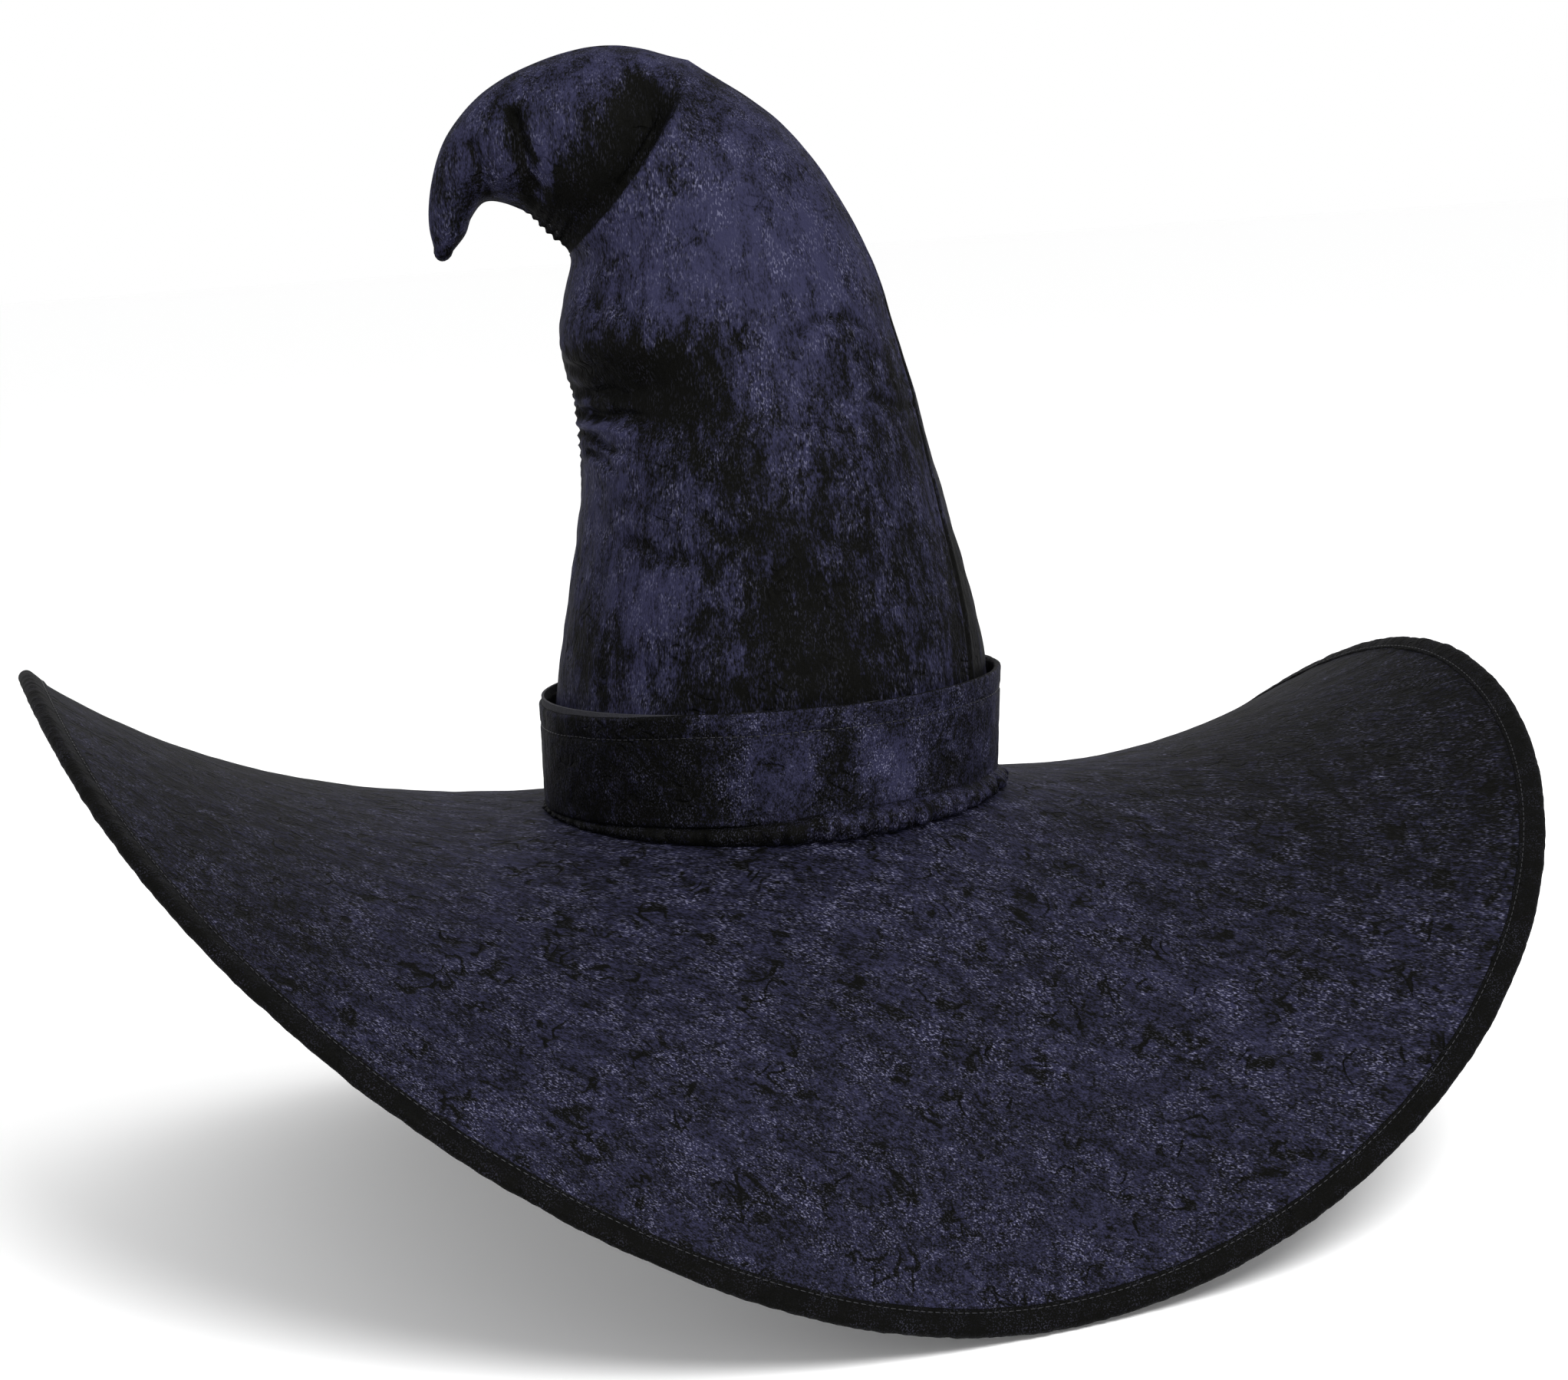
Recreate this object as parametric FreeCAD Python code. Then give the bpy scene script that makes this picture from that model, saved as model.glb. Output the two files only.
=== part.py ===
import FreeCAD, Part
import math
import os
from FreeCAD import Vector

# A gathered velvet witch hat, in millimetres.
# Origin: centre of the head opening, at the line where the crown meets the brim.
# +Z is up the crown, +X is toward the back seam, and the tip curls over to -X.

# ---- driving dimensions --------------------------------------------------------------
HEAD_RADIUS = 90.7          # wall of the sweatband: an adult head of 57 cm
SWEATBAND_THICKNESS = 1.2
SWEATBAND_LOW = -9.0
SWEATBAND_HIGH = 19.0

VELVET = 0.8                # pile and backing of the velvet
PLY_GAP = 0.1               # clear space between two plies
CROWN_FOAM = 2.0
BRIM_FOAM = 2.0
SEAM_GAP = 0.3              # clear space between two panels at a seam
JOINT_GAP = 0.5             # clear space between two bodies at a bend

BRIM_ROOT_RADIUS = 97.0     # where the brim leaves the crown
BRIM_WIDTH = 244.0          # measured along the cloth, root to outer edge
BRIM_INSIDE = -4.8          # the brim plies reach this far inside the root
BINDING_LEG = 11.0
BINDING_OUTER = 3.1         # half thickness of the bound edge
BINDING_INNER = 2.2
PLY_SETBACK = 4.6           # the plies stop this far short of the outer edge
WIRE_RADIUS = 0.8
WIRE_OUTWARD = 0.7          # the wire lies this far outward of the binding's centre
FERRULE_INNER = 0.85
FERRULE_OUTER = 1.3
FERRULE_HALF_ANGLE = 2.0    # degrees of the edge to each side of its middle
WIRE_JOIN_ANGLE = 90.0      # the wire's ends meet behind the crown

BAND_LOW = 0.8
BAND_HIGH = 49.0
BAND_LOW_RADIUS = 100.7
BAND_HIGH_RADIUS = 102.5
BAND_LOW_CENTRE = 0.5
BAND_HIGH_CENTRE = 3.0
BAND_STIFFENER = 1.2

ROLL_INNER = 97.5
ROLL_OUTER = 100.5
ROLL_TOP = 0.6

ELASTIC_HALF_WIDTH = 3.0
ELASTIC_THICKNESS = 1.2
ELASTIC_CLEARANCE = 0.5
WADDING_CLEARANCE = 0.3

# Crown outline: front seam (x, z), back seam (x, z) and half depth, from the base up.
# The front seam is the gathered, hollow side and the back seam is the long, round side.
LOWER_CROWN = [
    ((-96.5, 1.5), (97.0, 1.5), 96.5),
    ((-95.3, 23.0), (98.8, 23.0), 96.0),
    ((-89.5, 57.0), (98.5, 57.0), 91.0),
    ((-77.5, 120.0), (86.0, 120.0), 78.0),
    ((-72.5, 155.0), (78.5, 155.0), 71.0),
    ((-74.0, 178.0), (75.5, 171.0), 65.5),
]
UPPER_CROWN = [
    ((-74.0, 178.0), (75.5, 171.0), 65.5),
    ((-79.0, 205.0), (67.0, 205.0), 58.5),
    ((-74.0, 227.0), (60.0, 230.0), 54.0),
    ((-70.5, 238.0), (48.0, 257.0), 50.0),
    ((-71.5, 243.0), (24.0, 292.0), 46.0),
    ((-73.0, 245.5), (-14.0, 321.0), 40.0),
]
CROWN_TIP = [
    ((-73.0, 245.5), (-14.0, 321.0), 40.0),
    ((-80.0, 252.0), (-45.0, 329.6), 32.5),
    ((-88.0, 260.5), (-75.0, 326.0), 27.0),
    ((-98.0, 265.5), (-103.0, 314.0), 21.5),
    ((-107.0, 266.3), (-120.0, 297.0), 16.0),
    ((-113.0, 260.0), (-129.0, 277.0), 11.0),
    ((-117.0, 252.0), (-131.7, 257.0), 8.0),
    ((-122.0, 246.5), (-130.5, 248.5), 4.2),
]
STATION_STEPS = 3           # stations are drawn this much closer by a smooth curve
TIP_FOAM_SPANS = 4          # the foam stops where the stuffing begins
TIP_ELASTIC_SPANS = 3
LOWER_ELASTIC_START = 2
TIP_POINT_WALL = 3.9        # the cloth is bunched solid at the very point

# The back seam lies this far round to the near side at the base, and runs out to none.
BACK_SEAM_ANGLE = 30.0
BACK_SEAM_STRAIGHT = 290.0

BRIM_SECTIONS = 36
PANEL_STEPS = 24            # points along each half of a crown station


# ---- the brim's formula ----------------------------------------------------------------
def cos_deg(angle):
    return math.cos(math.radians(angle))


def brim_slope(angle):
    """Slope of the brim half way out, in radians."""
    tilt = 8.7 * cos_deg(angle - 177.5)
    saddle = 28.0 * cos_deg(2.0 * (angle - 16.5))
    ripple = 2.0 * cos_deg(3.0 * (angle - 21.5))
    return math.radians(-13.7 + tilt + saddle + ripple)


def brim_turn(angle):
    """How far the brim curls from root to edge, in radians."""
    return math.radians(39.5 * cos_deg(2.0 * (angle - 18.4)))


def sine_ratio(x):
    if abs(x) < 1e-6:
        return 1.0
    return math.sin(x) / x


def brim_point(angle, along, offset):
    """A point `along` the cloth from the root, and `offset` above its middle."""
    root_slope = brim_slope(angle) - brim_turn(angle) / 2.0
    half_turn = brim_turn(angle) * along / (2.0 * BRIM_WIDTH)
    chord = along * sine_ratio(half_turn)
    slope = root_slope + 2.0 * half_turn
    radius = BRIM_ROOT_RADIUS + chord * math.cos(root_slope + half_turn)
    height = -6.0 + 3.0 * cos_deg(2.0 * angle) + chord * math.sin(root_slope + half_turn)
    radius -= offset * math.sin(slope)
    height += offset * math.cos(slope)
    return around(angle, radius, height)


def around(angle, radius, height):
    turn = math.radians(angle)
    return Vector(radius * math.cos(turn), radius * math.sin(turn), height)


# ---- helpers ---------------------------------------------------------------------------
def spline(points):
    curve = Part.BSplineCurve()
    curve.interpolate(points)
    return curve.toShape()


def save(shape, name):
    shape.exportStep(f"parts/{name}.step")
    print(f"{name:28s} {shape.Volume:12.1f} mm3  valid {shape.isValid()}  solids {len(shape.Solids)}")


def ring_angles():
    return [360.0 * i / BRIM_SECTIONS for i in range(BRIM_SECTIONS)]


def closed_ring(section):
    """A ring through one closed wire at each angle."""
    return Part.makeLoft([section(angle) for angle in ring_angles()], True, False, True)


def brim_line(angle, start, end, offset, count=7):
    step = (end - start) / (count - 1)
    return [brim_point(angle, start + step * i, offset) for i in range(count)]


# ---- the brim --------------------------------------------------------------------------
def brim_ply(low, high):
    """A flat ply of the brim between two offsets from its middle."""
    end = BRIM_WIDTH - PLY_SETBACK

    def section(angle):
        top = brim_line(angle, BRIM_INSIDE, end, high)
        bottom = brim_line(angle, BRIM_INSIDE, end, low)
        edges = [spline(top), Part.makeLine(top[-1], bottom[-1])]
        edges += [spline(bottom), Part.makeLine(bottom[0], top[0])]
        return Part.Wire(edges)

    return closed_ring(section)


def brim_edge_binding():
    """A folded tape around the brim's edge: a U in section."""
    centre = BRIM_WIDTH - BINDING_OUTER
    start = BRIM_WIDTH - BINDING_LEG

    def fold(angle, half):
        above = brim_point(angle, centre, half)
        tip = brim_point(angle, centre + half, 0.0)
        below = brim_point(angle, centre, -half)
        return above, tip, below

    def section(angle):
        outer = fold(angle, BINDING_OUTER)
        inner = fold(angle, BINDING_INNER)
        high_outer = brim_point(angle, start, BINDING_OUTER)
        high_inner = brim_point(angle, start, BINDING_INNER)
        low_outer = brim_point(angle, start, -BINDING_OUTER)
        low_inner = brim_point(angle, start, -BINDING_INNER)
        return Part.Wire([
            Part.makeLine(high_outer, outer[0]),
            Part.Arc(*outer).toShape(),
            Part.makeLine(outer[2], low_outer),
            Part.makeLine(low_outer, low_inner),
            Part.makeLine(low_inner, inner[2]),
            Part.Arc(inner[2], inner[1], inner[0]).toShape(),
            Part.makeLine(inner[0], high_inner),
            Part.makeLine(high_inner, high_outer),
        ])

    return closed_ring(section)


def edge_circle(angle, radius):
    """A circle square to the brim's edge, around the wire's centre line."""
    along = BRIM_WIDTH - BINDING_OUTER + WIRE_OUTWARD
    centre = brim_point(angle, along, 0.0)
    ahead = brim_point(angle + 0.5, along, 0.0)
    behind = brim_point(angle - 0.5, along, 0.0)
    return Part.Wire([Part.Circle(centre, ahead - behind, radius).toShape()])


def brim_wire():
    """A spring wire that runs once around and stops just short of itself."""
    half_gap = 0.1
    start = WIRE_JOIN_ANGLE + half_gap
    step = (360.0 - 2.0 * half_gap) / BRIM_SECTIONS
    sections = [edge_circle(start + step * i, WIRE_RADIUS) for i in range(BRIM_SECTIONS + 1)]
    return Part.makeLoft(sections, True, False)


def brim_wire_ferrule():
    """A crimped sleeve over the wire's two ends."""
    angles = [WIRE_JOIN_ANGLE + FERRULE_HALF_ANGLE * i / 2.0 for i in (-2, -1, 0, 1, 2)]
    sleeve = Part.makeLoft([edge_circle(a, FERRULE_OUTER) for a in angles], True, False)
    hole = Part.makeLoft([edge_circle(a, FERRULE_INNER) for a in angles], True, False)
    return sleeve.cut(hole)


def crown_base_roll():
    """The padded roll that fills the corner where the crown meets the brim."""
    top_of_velvet = BRIM_FOAM / 2.0 + PLY_GAP + VELVET + PLY_GAP

    def velvet_height(angle, radius):
        slope = brim_slope(angle) - brim_turn(angle) / 2.0
        out = radius - BRIM_ROOT_RADIUS + top_of_velvet * math.sin(slope)
        return brim_point(angle, out / math.cos(slope), top_of_velvet).z

    def section(angle):
        corners = [
            around(angle, ROLL_INNER, velvet_height(angle, ROLL_INNER) + PLY_GAP),
            around(angle, ROLL_OUTER, velvet_height(angle, ROLL_OUTER) + PLY_GAP),
            around(angle, ROLL_OUTER, ROLL_TOP),
            around(angle, ROLL_INNER, ROLL_TOP),
        ]
        return Part.makePolygon(corners + [corners[0]])

    return closed_ring(section)


# ---- the turned-up band and the sweatband ---------------------------------------------------
def band_ply(inset, thickness):
    """One ply of the band: a leaning conical wall, `inset` in from the outside."""
    def cone(extra):
        low = Part.Circle(Vector(BAND_LOW_CENTRE, 0, BAND_LOW), Vector(0, 0, 1),
                          BAND_LOW_RADIUS - extra)
        high = Part.Circle(Vector(BAND_HIGH_CENTRE, 0, BAND_HIGH), Vector(0, 0, 1),
                           BAND_HIGH_RADIUS - extra)
        wires = [Part.Wire([low.toShape()]), Part.Wire([high.toShape()])]
        return Part.makeLoft(wires, True, True)

    return cone(inset).cut(cone(inset + thickness))


def sweatband():
    """A ribbon around the head opening, with its ends butted at the back."""
    height = SWEATBAND_HIGH - SWEATBAND_LOW
    low = Vector(0, 0, SWEATBAND_LOW)
    outside = Part.makeCylinder(HEAD_RADIUS + SWEATBAND_THICKNESS, height, low)
    inside = Part.makeCylinder(HEAD_RADIUS, height, low)
    slit = Part.makeBox(2.0 * HEAD_RADIUS, SEAM_GAP, height, Vector(0, -SEAM_GAP / 2.0, SWEATBAND_LOW))
    return outside.cut(inside).cut(slit)


# ---- the crown -------------------------------------------------------------------------
def crown_point(station, angle, inset):
    """A point on the crown: angle 0 is the back seam's side and 180 the front seam."""
    front, back, depth = station
    centre = Vector((front[0] + back[0]) / 2.0, 0, (front[1] + back[1]) / 2.0)
    half = Vector((back[0] - front[0]) / 2.0, 0, (back[1] - front[1]) / 2.0)
    reach = half.Length - inset
    direction = half.normalize()
    along = direction * (reach * cos_deg(angle))
    across = Vector(0, 1, 0) * ((depth - inset) * math.sin(math.radians(angle)))
    return centre + along + across


def back_seam(station):
    """Angle of the back seam at a station: it drifts to the near side toward the base."""
    height = station[1][1]
    return -BACK_SEAM_ANGLE * max(0.0, 1.0 - height / BACK_SEAM_STRAIGHT)


def shift_station(station, amount):
    """The same station, moved up the crown by `amount` square to its own plane."""
    front, back, depth = station
    run = math.hypot(back[0] - front[0], back[1] - front[1])
    move_x = -(back[1] - front[1]) / run * amount
    move_z = (back[0] - front[0]) / run * amount
    return ((front[0] + move_x, front[1] + move_z), (back[0] + move_x, back[1] + move_z), depth)


def bent_ends(stations, bottom, top):
    """Pulls the first and last station back from a bend by half the joint gap."""
    result = list(stations)
    if bottom:
        result[0] = shift_station(result[0], JOINT_GAP / 2.0)
    if top:
        result[-1] = shift_station(result[-1], -JOINT_GAP / 2.0)
    return result


def smooth_stations(stations):
    """Adds stations on a smooth curve through the given ones."""
    rows = [front + back + (depth,) for front, back, depth in stations]
    centres = [Vector(row[0] + row[2], 0, row[1] + row[3]) / 2.0 for row in rows]
    along = [0.0]
    for i in range(1, len(rows)):
        along.append(along[-1] + (centres[i] - centres[i - 1]).Length)
    slopes = [station_slope(rows, along, i) for i in range(len(rows))]
    result = []
    for i in range(len(rows) - 1):
        span = along[i + 1] - along[i]
        for step in range(STATION_STEPS):
            t = step / STATION_STEPS
            near = (1.0 + 2.0 * t) * (1.0 - t) ** 2
            far = t * t * (3.0 - 2.0 * t)
            leave = t * (1.0 - t) ** 2 * span
            arrive = -t * t * (1.0 - t) * span
            row = [near * a + far * b + leave * sa + arrive * sb
                   for a, b, sa, sb in zip(rows[i], rows[i + 1], slopes[i], slopes[i + 1])]
            result.append(((row[0], row[1]), (row[2], row[3]), row[4]))
    return result + [stations[-1]]


def station_slope(rows, along, i):
    """Rate of change of each station value along the crown's centre line."""
    last = len(rows) - 1
    if i in (0, last):
        low = min(i, last - 1)
        run = along[low + 1] - along[low]
        return [(b - a) / run for a, b in zip(rows[low], rows[low + 1])]
    before = along[i] - along[i - 1]
    after = along[i + 1] - along[i]
    return [((b - a) / before * after + (c - b) / after * before) / (before + after)
            for a, b, c in zip(rows[i - 1], rows[i], rows[i + 1])]


def crown_panel(stations, insets, walls, side):
    """One half of a crown ply; `side` is -1 for the near half and +1 for the far half."""
    def section(station, inset, wall):
        reach = (station[2] - inset)
        gap = math.degrees(SEAM_GAP / 2.0 / reach)
        seam = back_seam(station)
        start = seam + side * gap
        end = side * (180.0 - gap)
        angles = [start + (end - start) * i / PANEL_STEPS for i in range(PANEL_STEPS + 1)]
        outer = [crown_point(station, a, inset) for a in angles]
        inner = [crown_point(station, a, inset + wall) for a in angles]
        edges = [spline(outer), Part.makeLine(outer[-1], inner[-1])]
        edges += [spline(inner), Part.makeLine(inner[0], outer[0])]
        return Part.Wire(edges)

    wires = [section(*parts) for parts in zip(stations, insets, walls)]
    return Part.makeLoft(wires, True, False)


def crown_ply(stations, inset, wall, name, point_wall=None):
    """Saves the near and far halves of one ply."""
    count = len(stations)
    walls = [wall] * count
    if point_wall:
        walls[-1] = point_wall
    for side, word in ((-1, "near"), (1, "far")):
        panel = crown_panel(stations, [inset] * count, walls, side)
        save(panel, f"{name}_{word}")


def seam_elastic(stations):
    """A flat elastic along the inside of the front seam, which draws the gathers."""
    near_face = VELVET + PLY_GAP + CROWN_FOAM + ELASTIC_CLEARANCE

    def section(station):
        outer = crown_point(station, 180.0, near_face)
        inner = crown_point(station, 180.0, near_face + ELASTIC_THICKNESS)
        side = Vector(0, ELASTIC_HALF_WIDTH, 0)
        corners = [outer + side, outer - side, inner - side, inner + side]
        return Part.makePolygon(corners + [corners[0]])

    return Part.makeLoft([section(station) for station in stations], True, False)


def tip_wadding(stations):
    """Soft stuffing that keeps the curled point round."""
    def section(station):
        inset = VELVET + WADDING_CLEARANCE
        points = [crown_point(station, 360.0 * i / PANEL_STEPS, inset) for i in range(PANEL_STEPS)]
        curve = Part.BSplineCurve()
        curve.interpolate(points, PeriodicFlag=True)
        return Part.Wire([curve.toShape()])

    return Part.makeLoft([section(station) for station in stations], True, False)


def build():
    os.makedirs("parts", exist_ok=True)
    half_foam = BRIM_FOAM / 2.0
    save(brim_ply(-half_foam, half_foam), "brim_foam_core")
    save(brim_ply(half_foam + PLY_GAP, half_foam + PLY_GAP + VELVET), "brim_top_velvet")
    save(brim_ply(-half_foam - PLY_GAP - VELVET, -half_foam - PLY_GAP), "brim_under_velvet")
    save(brim_edge_binding(), "brim_edge_binding")
    save(brim_wire(), "brim_wire")
    save(brim_wire_ferrule(), "brim_wire_ferrule")
    save(crown_base_roll(), "crown_base_roll")

    save(band_ply(0.0, VELVET), "band_outer_velvet")
    save(band_ply(VELVET + PLY_GAP, BAND_STIFFENER), "band_stiffener")
    save(band_ply(VELVET + BAND_STIFFENER + 2.0 * PLY_GAP, VELVET), "band_inner_velvet")
    save(sweatband(), "sweatband")

    foam_inset = VELVET + PLY_GAP
    lower = bent_ends(smooth_stations(LOWER_CROWN), False, True)
    crown_ply(lower, 0.0, VELVET, "lower_crown_velvet")
    crown_ply(lower, foam_inset, CROWN_FOAM, "lower_crown_foam")
    save(seam_elastic(lower[LOWER_ELASTIC_START * STATION_STEPS:]), "lower_crown_elastic")

    upper = bent_ends(smooth_stations(UPPER_CROWN), True, True)
    crown_ply(upper, 0.0, VELVET, "upper_crown_velvet")
    crown_ply(upper, foam_inset, CROWN_FOAM, "upper_crown_foam")
    save(seam_elastic(upper), "upper_crown_elastic")

    tip = bent_ends(smooth_stations(CROWN_TIP), True, False)
    foam_end = TIP_FOAM_SPANS * STATION_STEPS
    crown_ply(tip, 0.0, VELVET, "tip_velvet", TIP_POINT_WALL)
    crown_ply(tip[:foam_end + 1], foam_inset, CROWN_FOAM, "tip_foam")
    save(seam_elastic(tip[:TIP_ELASTIC_SPANS * STATION_STEPS + 1]), "tip_elastic")
    stuffing = tip[foam_end:-STATION_STEPS]
    stuffing[0] = shift_station(stuffing[0], JOINT_GAP)
    save(tip_wadding(stuffing), "tip_wadding")


build()
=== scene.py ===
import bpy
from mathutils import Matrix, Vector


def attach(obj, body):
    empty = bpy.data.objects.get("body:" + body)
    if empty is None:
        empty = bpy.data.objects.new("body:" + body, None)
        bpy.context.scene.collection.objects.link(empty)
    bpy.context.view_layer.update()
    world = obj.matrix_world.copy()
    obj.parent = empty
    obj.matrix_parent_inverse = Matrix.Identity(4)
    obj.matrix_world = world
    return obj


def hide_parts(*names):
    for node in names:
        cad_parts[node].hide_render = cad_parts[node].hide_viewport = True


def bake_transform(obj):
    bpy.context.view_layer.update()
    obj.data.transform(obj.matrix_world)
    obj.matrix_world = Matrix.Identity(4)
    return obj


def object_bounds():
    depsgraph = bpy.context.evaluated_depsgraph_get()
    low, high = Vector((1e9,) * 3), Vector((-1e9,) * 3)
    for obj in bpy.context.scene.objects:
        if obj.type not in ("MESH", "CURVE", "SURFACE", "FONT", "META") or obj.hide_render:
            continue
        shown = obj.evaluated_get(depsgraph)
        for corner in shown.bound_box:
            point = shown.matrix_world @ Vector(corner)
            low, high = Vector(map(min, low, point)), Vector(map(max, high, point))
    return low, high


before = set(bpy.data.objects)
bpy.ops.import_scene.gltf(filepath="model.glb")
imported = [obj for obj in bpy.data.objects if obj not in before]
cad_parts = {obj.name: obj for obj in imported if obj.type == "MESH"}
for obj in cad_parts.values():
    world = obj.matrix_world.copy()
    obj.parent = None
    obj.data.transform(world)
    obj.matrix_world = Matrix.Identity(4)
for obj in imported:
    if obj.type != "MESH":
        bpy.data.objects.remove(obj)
CAD_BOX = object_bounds()

import ast
import math

import bpy
import numpy as np
from bpy.props import FloatProperty, FloatVectorProperty, IntProperty, PointerProperty
from mathutils import Matrix, Vector, noise

bl_info = {
    "name": "Crushed velvet witch hat",
    "version": (1, 0, 0),
    "blender": (4, 5, 0),
    "location": "3D View > Sidebar > Witch Hat",
    "description": "Makes the cloth, stitching and studio around a witch hat's frame",
    "category": "Add Mesh",
}

MM = 0.001


def hex_colour(text):
    """An sRGB hex colour such as "2a2a38" as linear red, green and blue."""
    values = [int(text[i:i + 2], 16) / 255.0 for i in (0, 2, 4)]
    return [v / 12.92 if v <= 0.04045 else ((v + 0.055) / 1.055) ** 2.4 for v in values]


# ---- sizes and colours a user may change ------------------------------------------------
class HatSizes(bpy.types.PropertyGroup):
    """Sizes of the cloth pieces"""
    brim_width: FloatProperty(
        name="Brim width", description="Along the cloth, from the crown to the outer edge",
        default=244.0 * MM, unit="LENGTH")
    root_radius: FloatProperty(
        name="Root radius", description="Radius at which the brim leaves the crown",
        default=97.0 * MM, unit="LENGTH")
    velvet: FloatProperty(
        name="Velvet thickness", description="Backing and pile together",
        default=0.8 * MM, unit="LENGTH")
    hem_width: FloatProperty(
        name="Hem width", description="Width of the stitched channel around the brim",
        default=11.0 * MM, unit="LENGTH")
    stitch_pitch: FloatProperty(
        name="Stitch pitch", description="Distance from one stitch to the next",
        default=3.2 * MM, unit="LENGTH")
    thread: FloatProperty(
        name="Thread radius", description="Half the thread's thickness",
        default=0.24 * MM, unit="LENGTH")
    gather_pitch: FloatProperty(
        name="Gather pitch", description="Distance between the small gathers at the elastic",
        default=4.3 * MM, unit="LENGTH")
    crown_columns: IntProperty(
        name="Crown columns", description="Mesh columns around the crown", default=300, min=48)


class HatColours(bpy.types.PropertyGroup):
    """Colours of the cloths and the studio"""
    velvet_lit: FloatVectorProperty(
        name="Velvet, lit pile", description="Pile that lies toward the eye",
        subtype="COLOR", size=3, default=hex_colour("222235"))
    velvet_dark: FloatVectorProperty(
        name="Velvet, dark pile", description="Pile that lies away from the eye",
        subtype="COLOR", size=3, default=hex_colour("040403"))
    # painted glints: the colour of single fibres painted as if catching the light
    painted_glint_colour: FloatVectorProperty(
        name="Velvet flecks", description="Single fibres that catch the light",
        subtype="COLOR", size=3, default=hex_colour("5a5a6e"))
    foam: FloatVectorProperty(
        name="Foam backing", description="Dark grey laminated foam",
        subtype="COLOR", size=3, default=hex_colour("26262b"))
    ribbon: FloatVectorProperty(
        name="Sweatband ribbon", description="Ribbed black ribbon",
        subtype="COLOR", size=3, default=hex_colour("17171a"))
    thread: FloatVectorProperty(
        name="Thread", description="Sewing thread",
        subtype="COLOR", size=3, default=hex_colour("0c0c12"))
    floor: FloatVectorProperty(
        name="Floor", description="Pale studio floor",
        subtype="COLOR", size=3, default=hex_colour("fefefe"))


def sizes():
    """The sizes set in the panel."""
    return bpy.context.scene.hat_sizes


def colours():
    """The colours set in the panel."""
    return bpy.context.scene.hat_colours


# ---- small helpers ----------------------------------------------------------------------
def add(tree, kind, values=(), **settings):
    """Adds a node with its settings, and links or fills its inputs."""
    node = tree.nodes.new(kind)
    for name, value in settings.items():
        setattr(node, name, value)
    pairs = values.items() if isinstance(values, dict) else enumerate(values)
    for key, value in pairs:
        if isinstance(value, bpy.types.NodeSocket):
            tree.links.new(value, node.inputs[key])
        else:
            node.inputs[key].default_value = value
    return node


OPERATORS = {ast.Add: "ADD", ast.Sub: "SUBTRACT", ast.Mult: "MULTIPLY", ast.Div: "DIVIDE"}


def formula(tree, text, **known):
    """Math nodes for a formula; a name is a socket or number, a call is a Math operation."""
    def build(part):
        if isinstance(part, ast.Constant):
            return float(part.value)
        if isinstance(part, ast.Name):
            return known[part.id]
        if isinstance(part, ast.Call):
            operation = part.func.id.upper()
            values = [build(argument) for argument in part.args]
        else:
            operation = OPERATORS[type(part.op)]
            values = [build(part.left), build(part.right)]
        return add(tree, "ShaderNodeMath", values, operation=operation).outputs[0]

    return build(ast.parse(text).body[0].value)


def noise_at(points, size, seed=0.0, power=1):
    """Smooth noise from about -1 to 1 at points, with hills about `size` across."""
    shift = Vector((seed * 7.31, seed * 3.17, seed * 5.71))
    rows = (points.reshape(-1, 3) / size).tolist()
    values = [noise.fractal(Vector(row) + shift, 1.0, 2.0, power) for row in rows]
    return np.array(values).reshape(points.shape[:-1])


def bump_at(value, middle, width):
    """A smooth hill of height 1."""
    return np.exp(-((value - middle) / width) ** 2)


def smooth_step(value, low, high):
    """Rises smoothly from 0 at `low` to 1 at `high`."""
    t = np.clip((value - low) / (high - low), 0.0, 1.0)
    return t * t * (3.0 - 2.0 * t)


def grid_faces(rows, columns, flip=False, first=0):
    """Quads of a grid of points that is stored row by row and closes around its columns."""
    faces = []
    for i in range(rows - 1):
        for j in range(columns):
            k = (j + 1) % columns
            quad = (first + i * columns + j, first + i * columns + k,
                    first + (i + 1) * columns + k, first + (i + 1) * columns + j)
            faces.append(quad[::-1] if flip else quad)
    return faces


def ring_faces(rows, columns):
    """Quads of a ring with a closed section: the last row joins the first."""
    faces = grid_faces(rows, columns)
    last = (rows - 1) * columns
    for j in range(columns):
        k = (j + 1) % columns
        faces.append((last + j, last + k, k, j))
    return faces


def mesh_object(name, points, faces, material=None, normals=None):
    """A smooth-shaded mesh object at the origin; its points are in millimetres."""
    mesh = bpy.data.meshes.new(name)
    mesh.from_pydata((np.asarray(points).reshape(-1, 3) * MM).tolist(), [], faces)
    mesh.validate()
    if material:
        mesh.materials.append(material)
    mesh.polygons.foreach_set("use_smooth", [True] * len(mesh.polygons))
    if normals is not None:
        mesh.normals_split_custom_set_from_vertices(normals.reshape(-1, 3).tolist())
    obj = bpy.data.objects.new(name, mesh)
    bpy.context.scene.collection.objects.link(obj)
    return obj


def places_of(obj):
    """The place of each point of a mesh object, in metres."""
    place = np.zeros(len(obj.data.vertices) * 3, np.float32)
    obj.data.vertices.foreach_get("co", place)
    return place.reshape(-1, 3)


def keep_cloth_place(obj, nap=None):
    """Stores each point's place at rest, which the patterns follow, and its tone: crushed pile with painted
    shade and light.
    """
    mesh = obj.data
    cloth = mesh.attributes.new("cloth", "FLOAT_VECTOR", "POINT")
    cloth.data.foreach_set("vector", places_of(obj).ravel())
    shade = mesh.attributes.new("nap", "FLOAT", "POINT")
    if nap is None:
        nap = np.zeros(len(mesh.vertices))
    shade.data.foreach_set("value", np.asarray(nap, np.float32).ravel())


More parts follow.
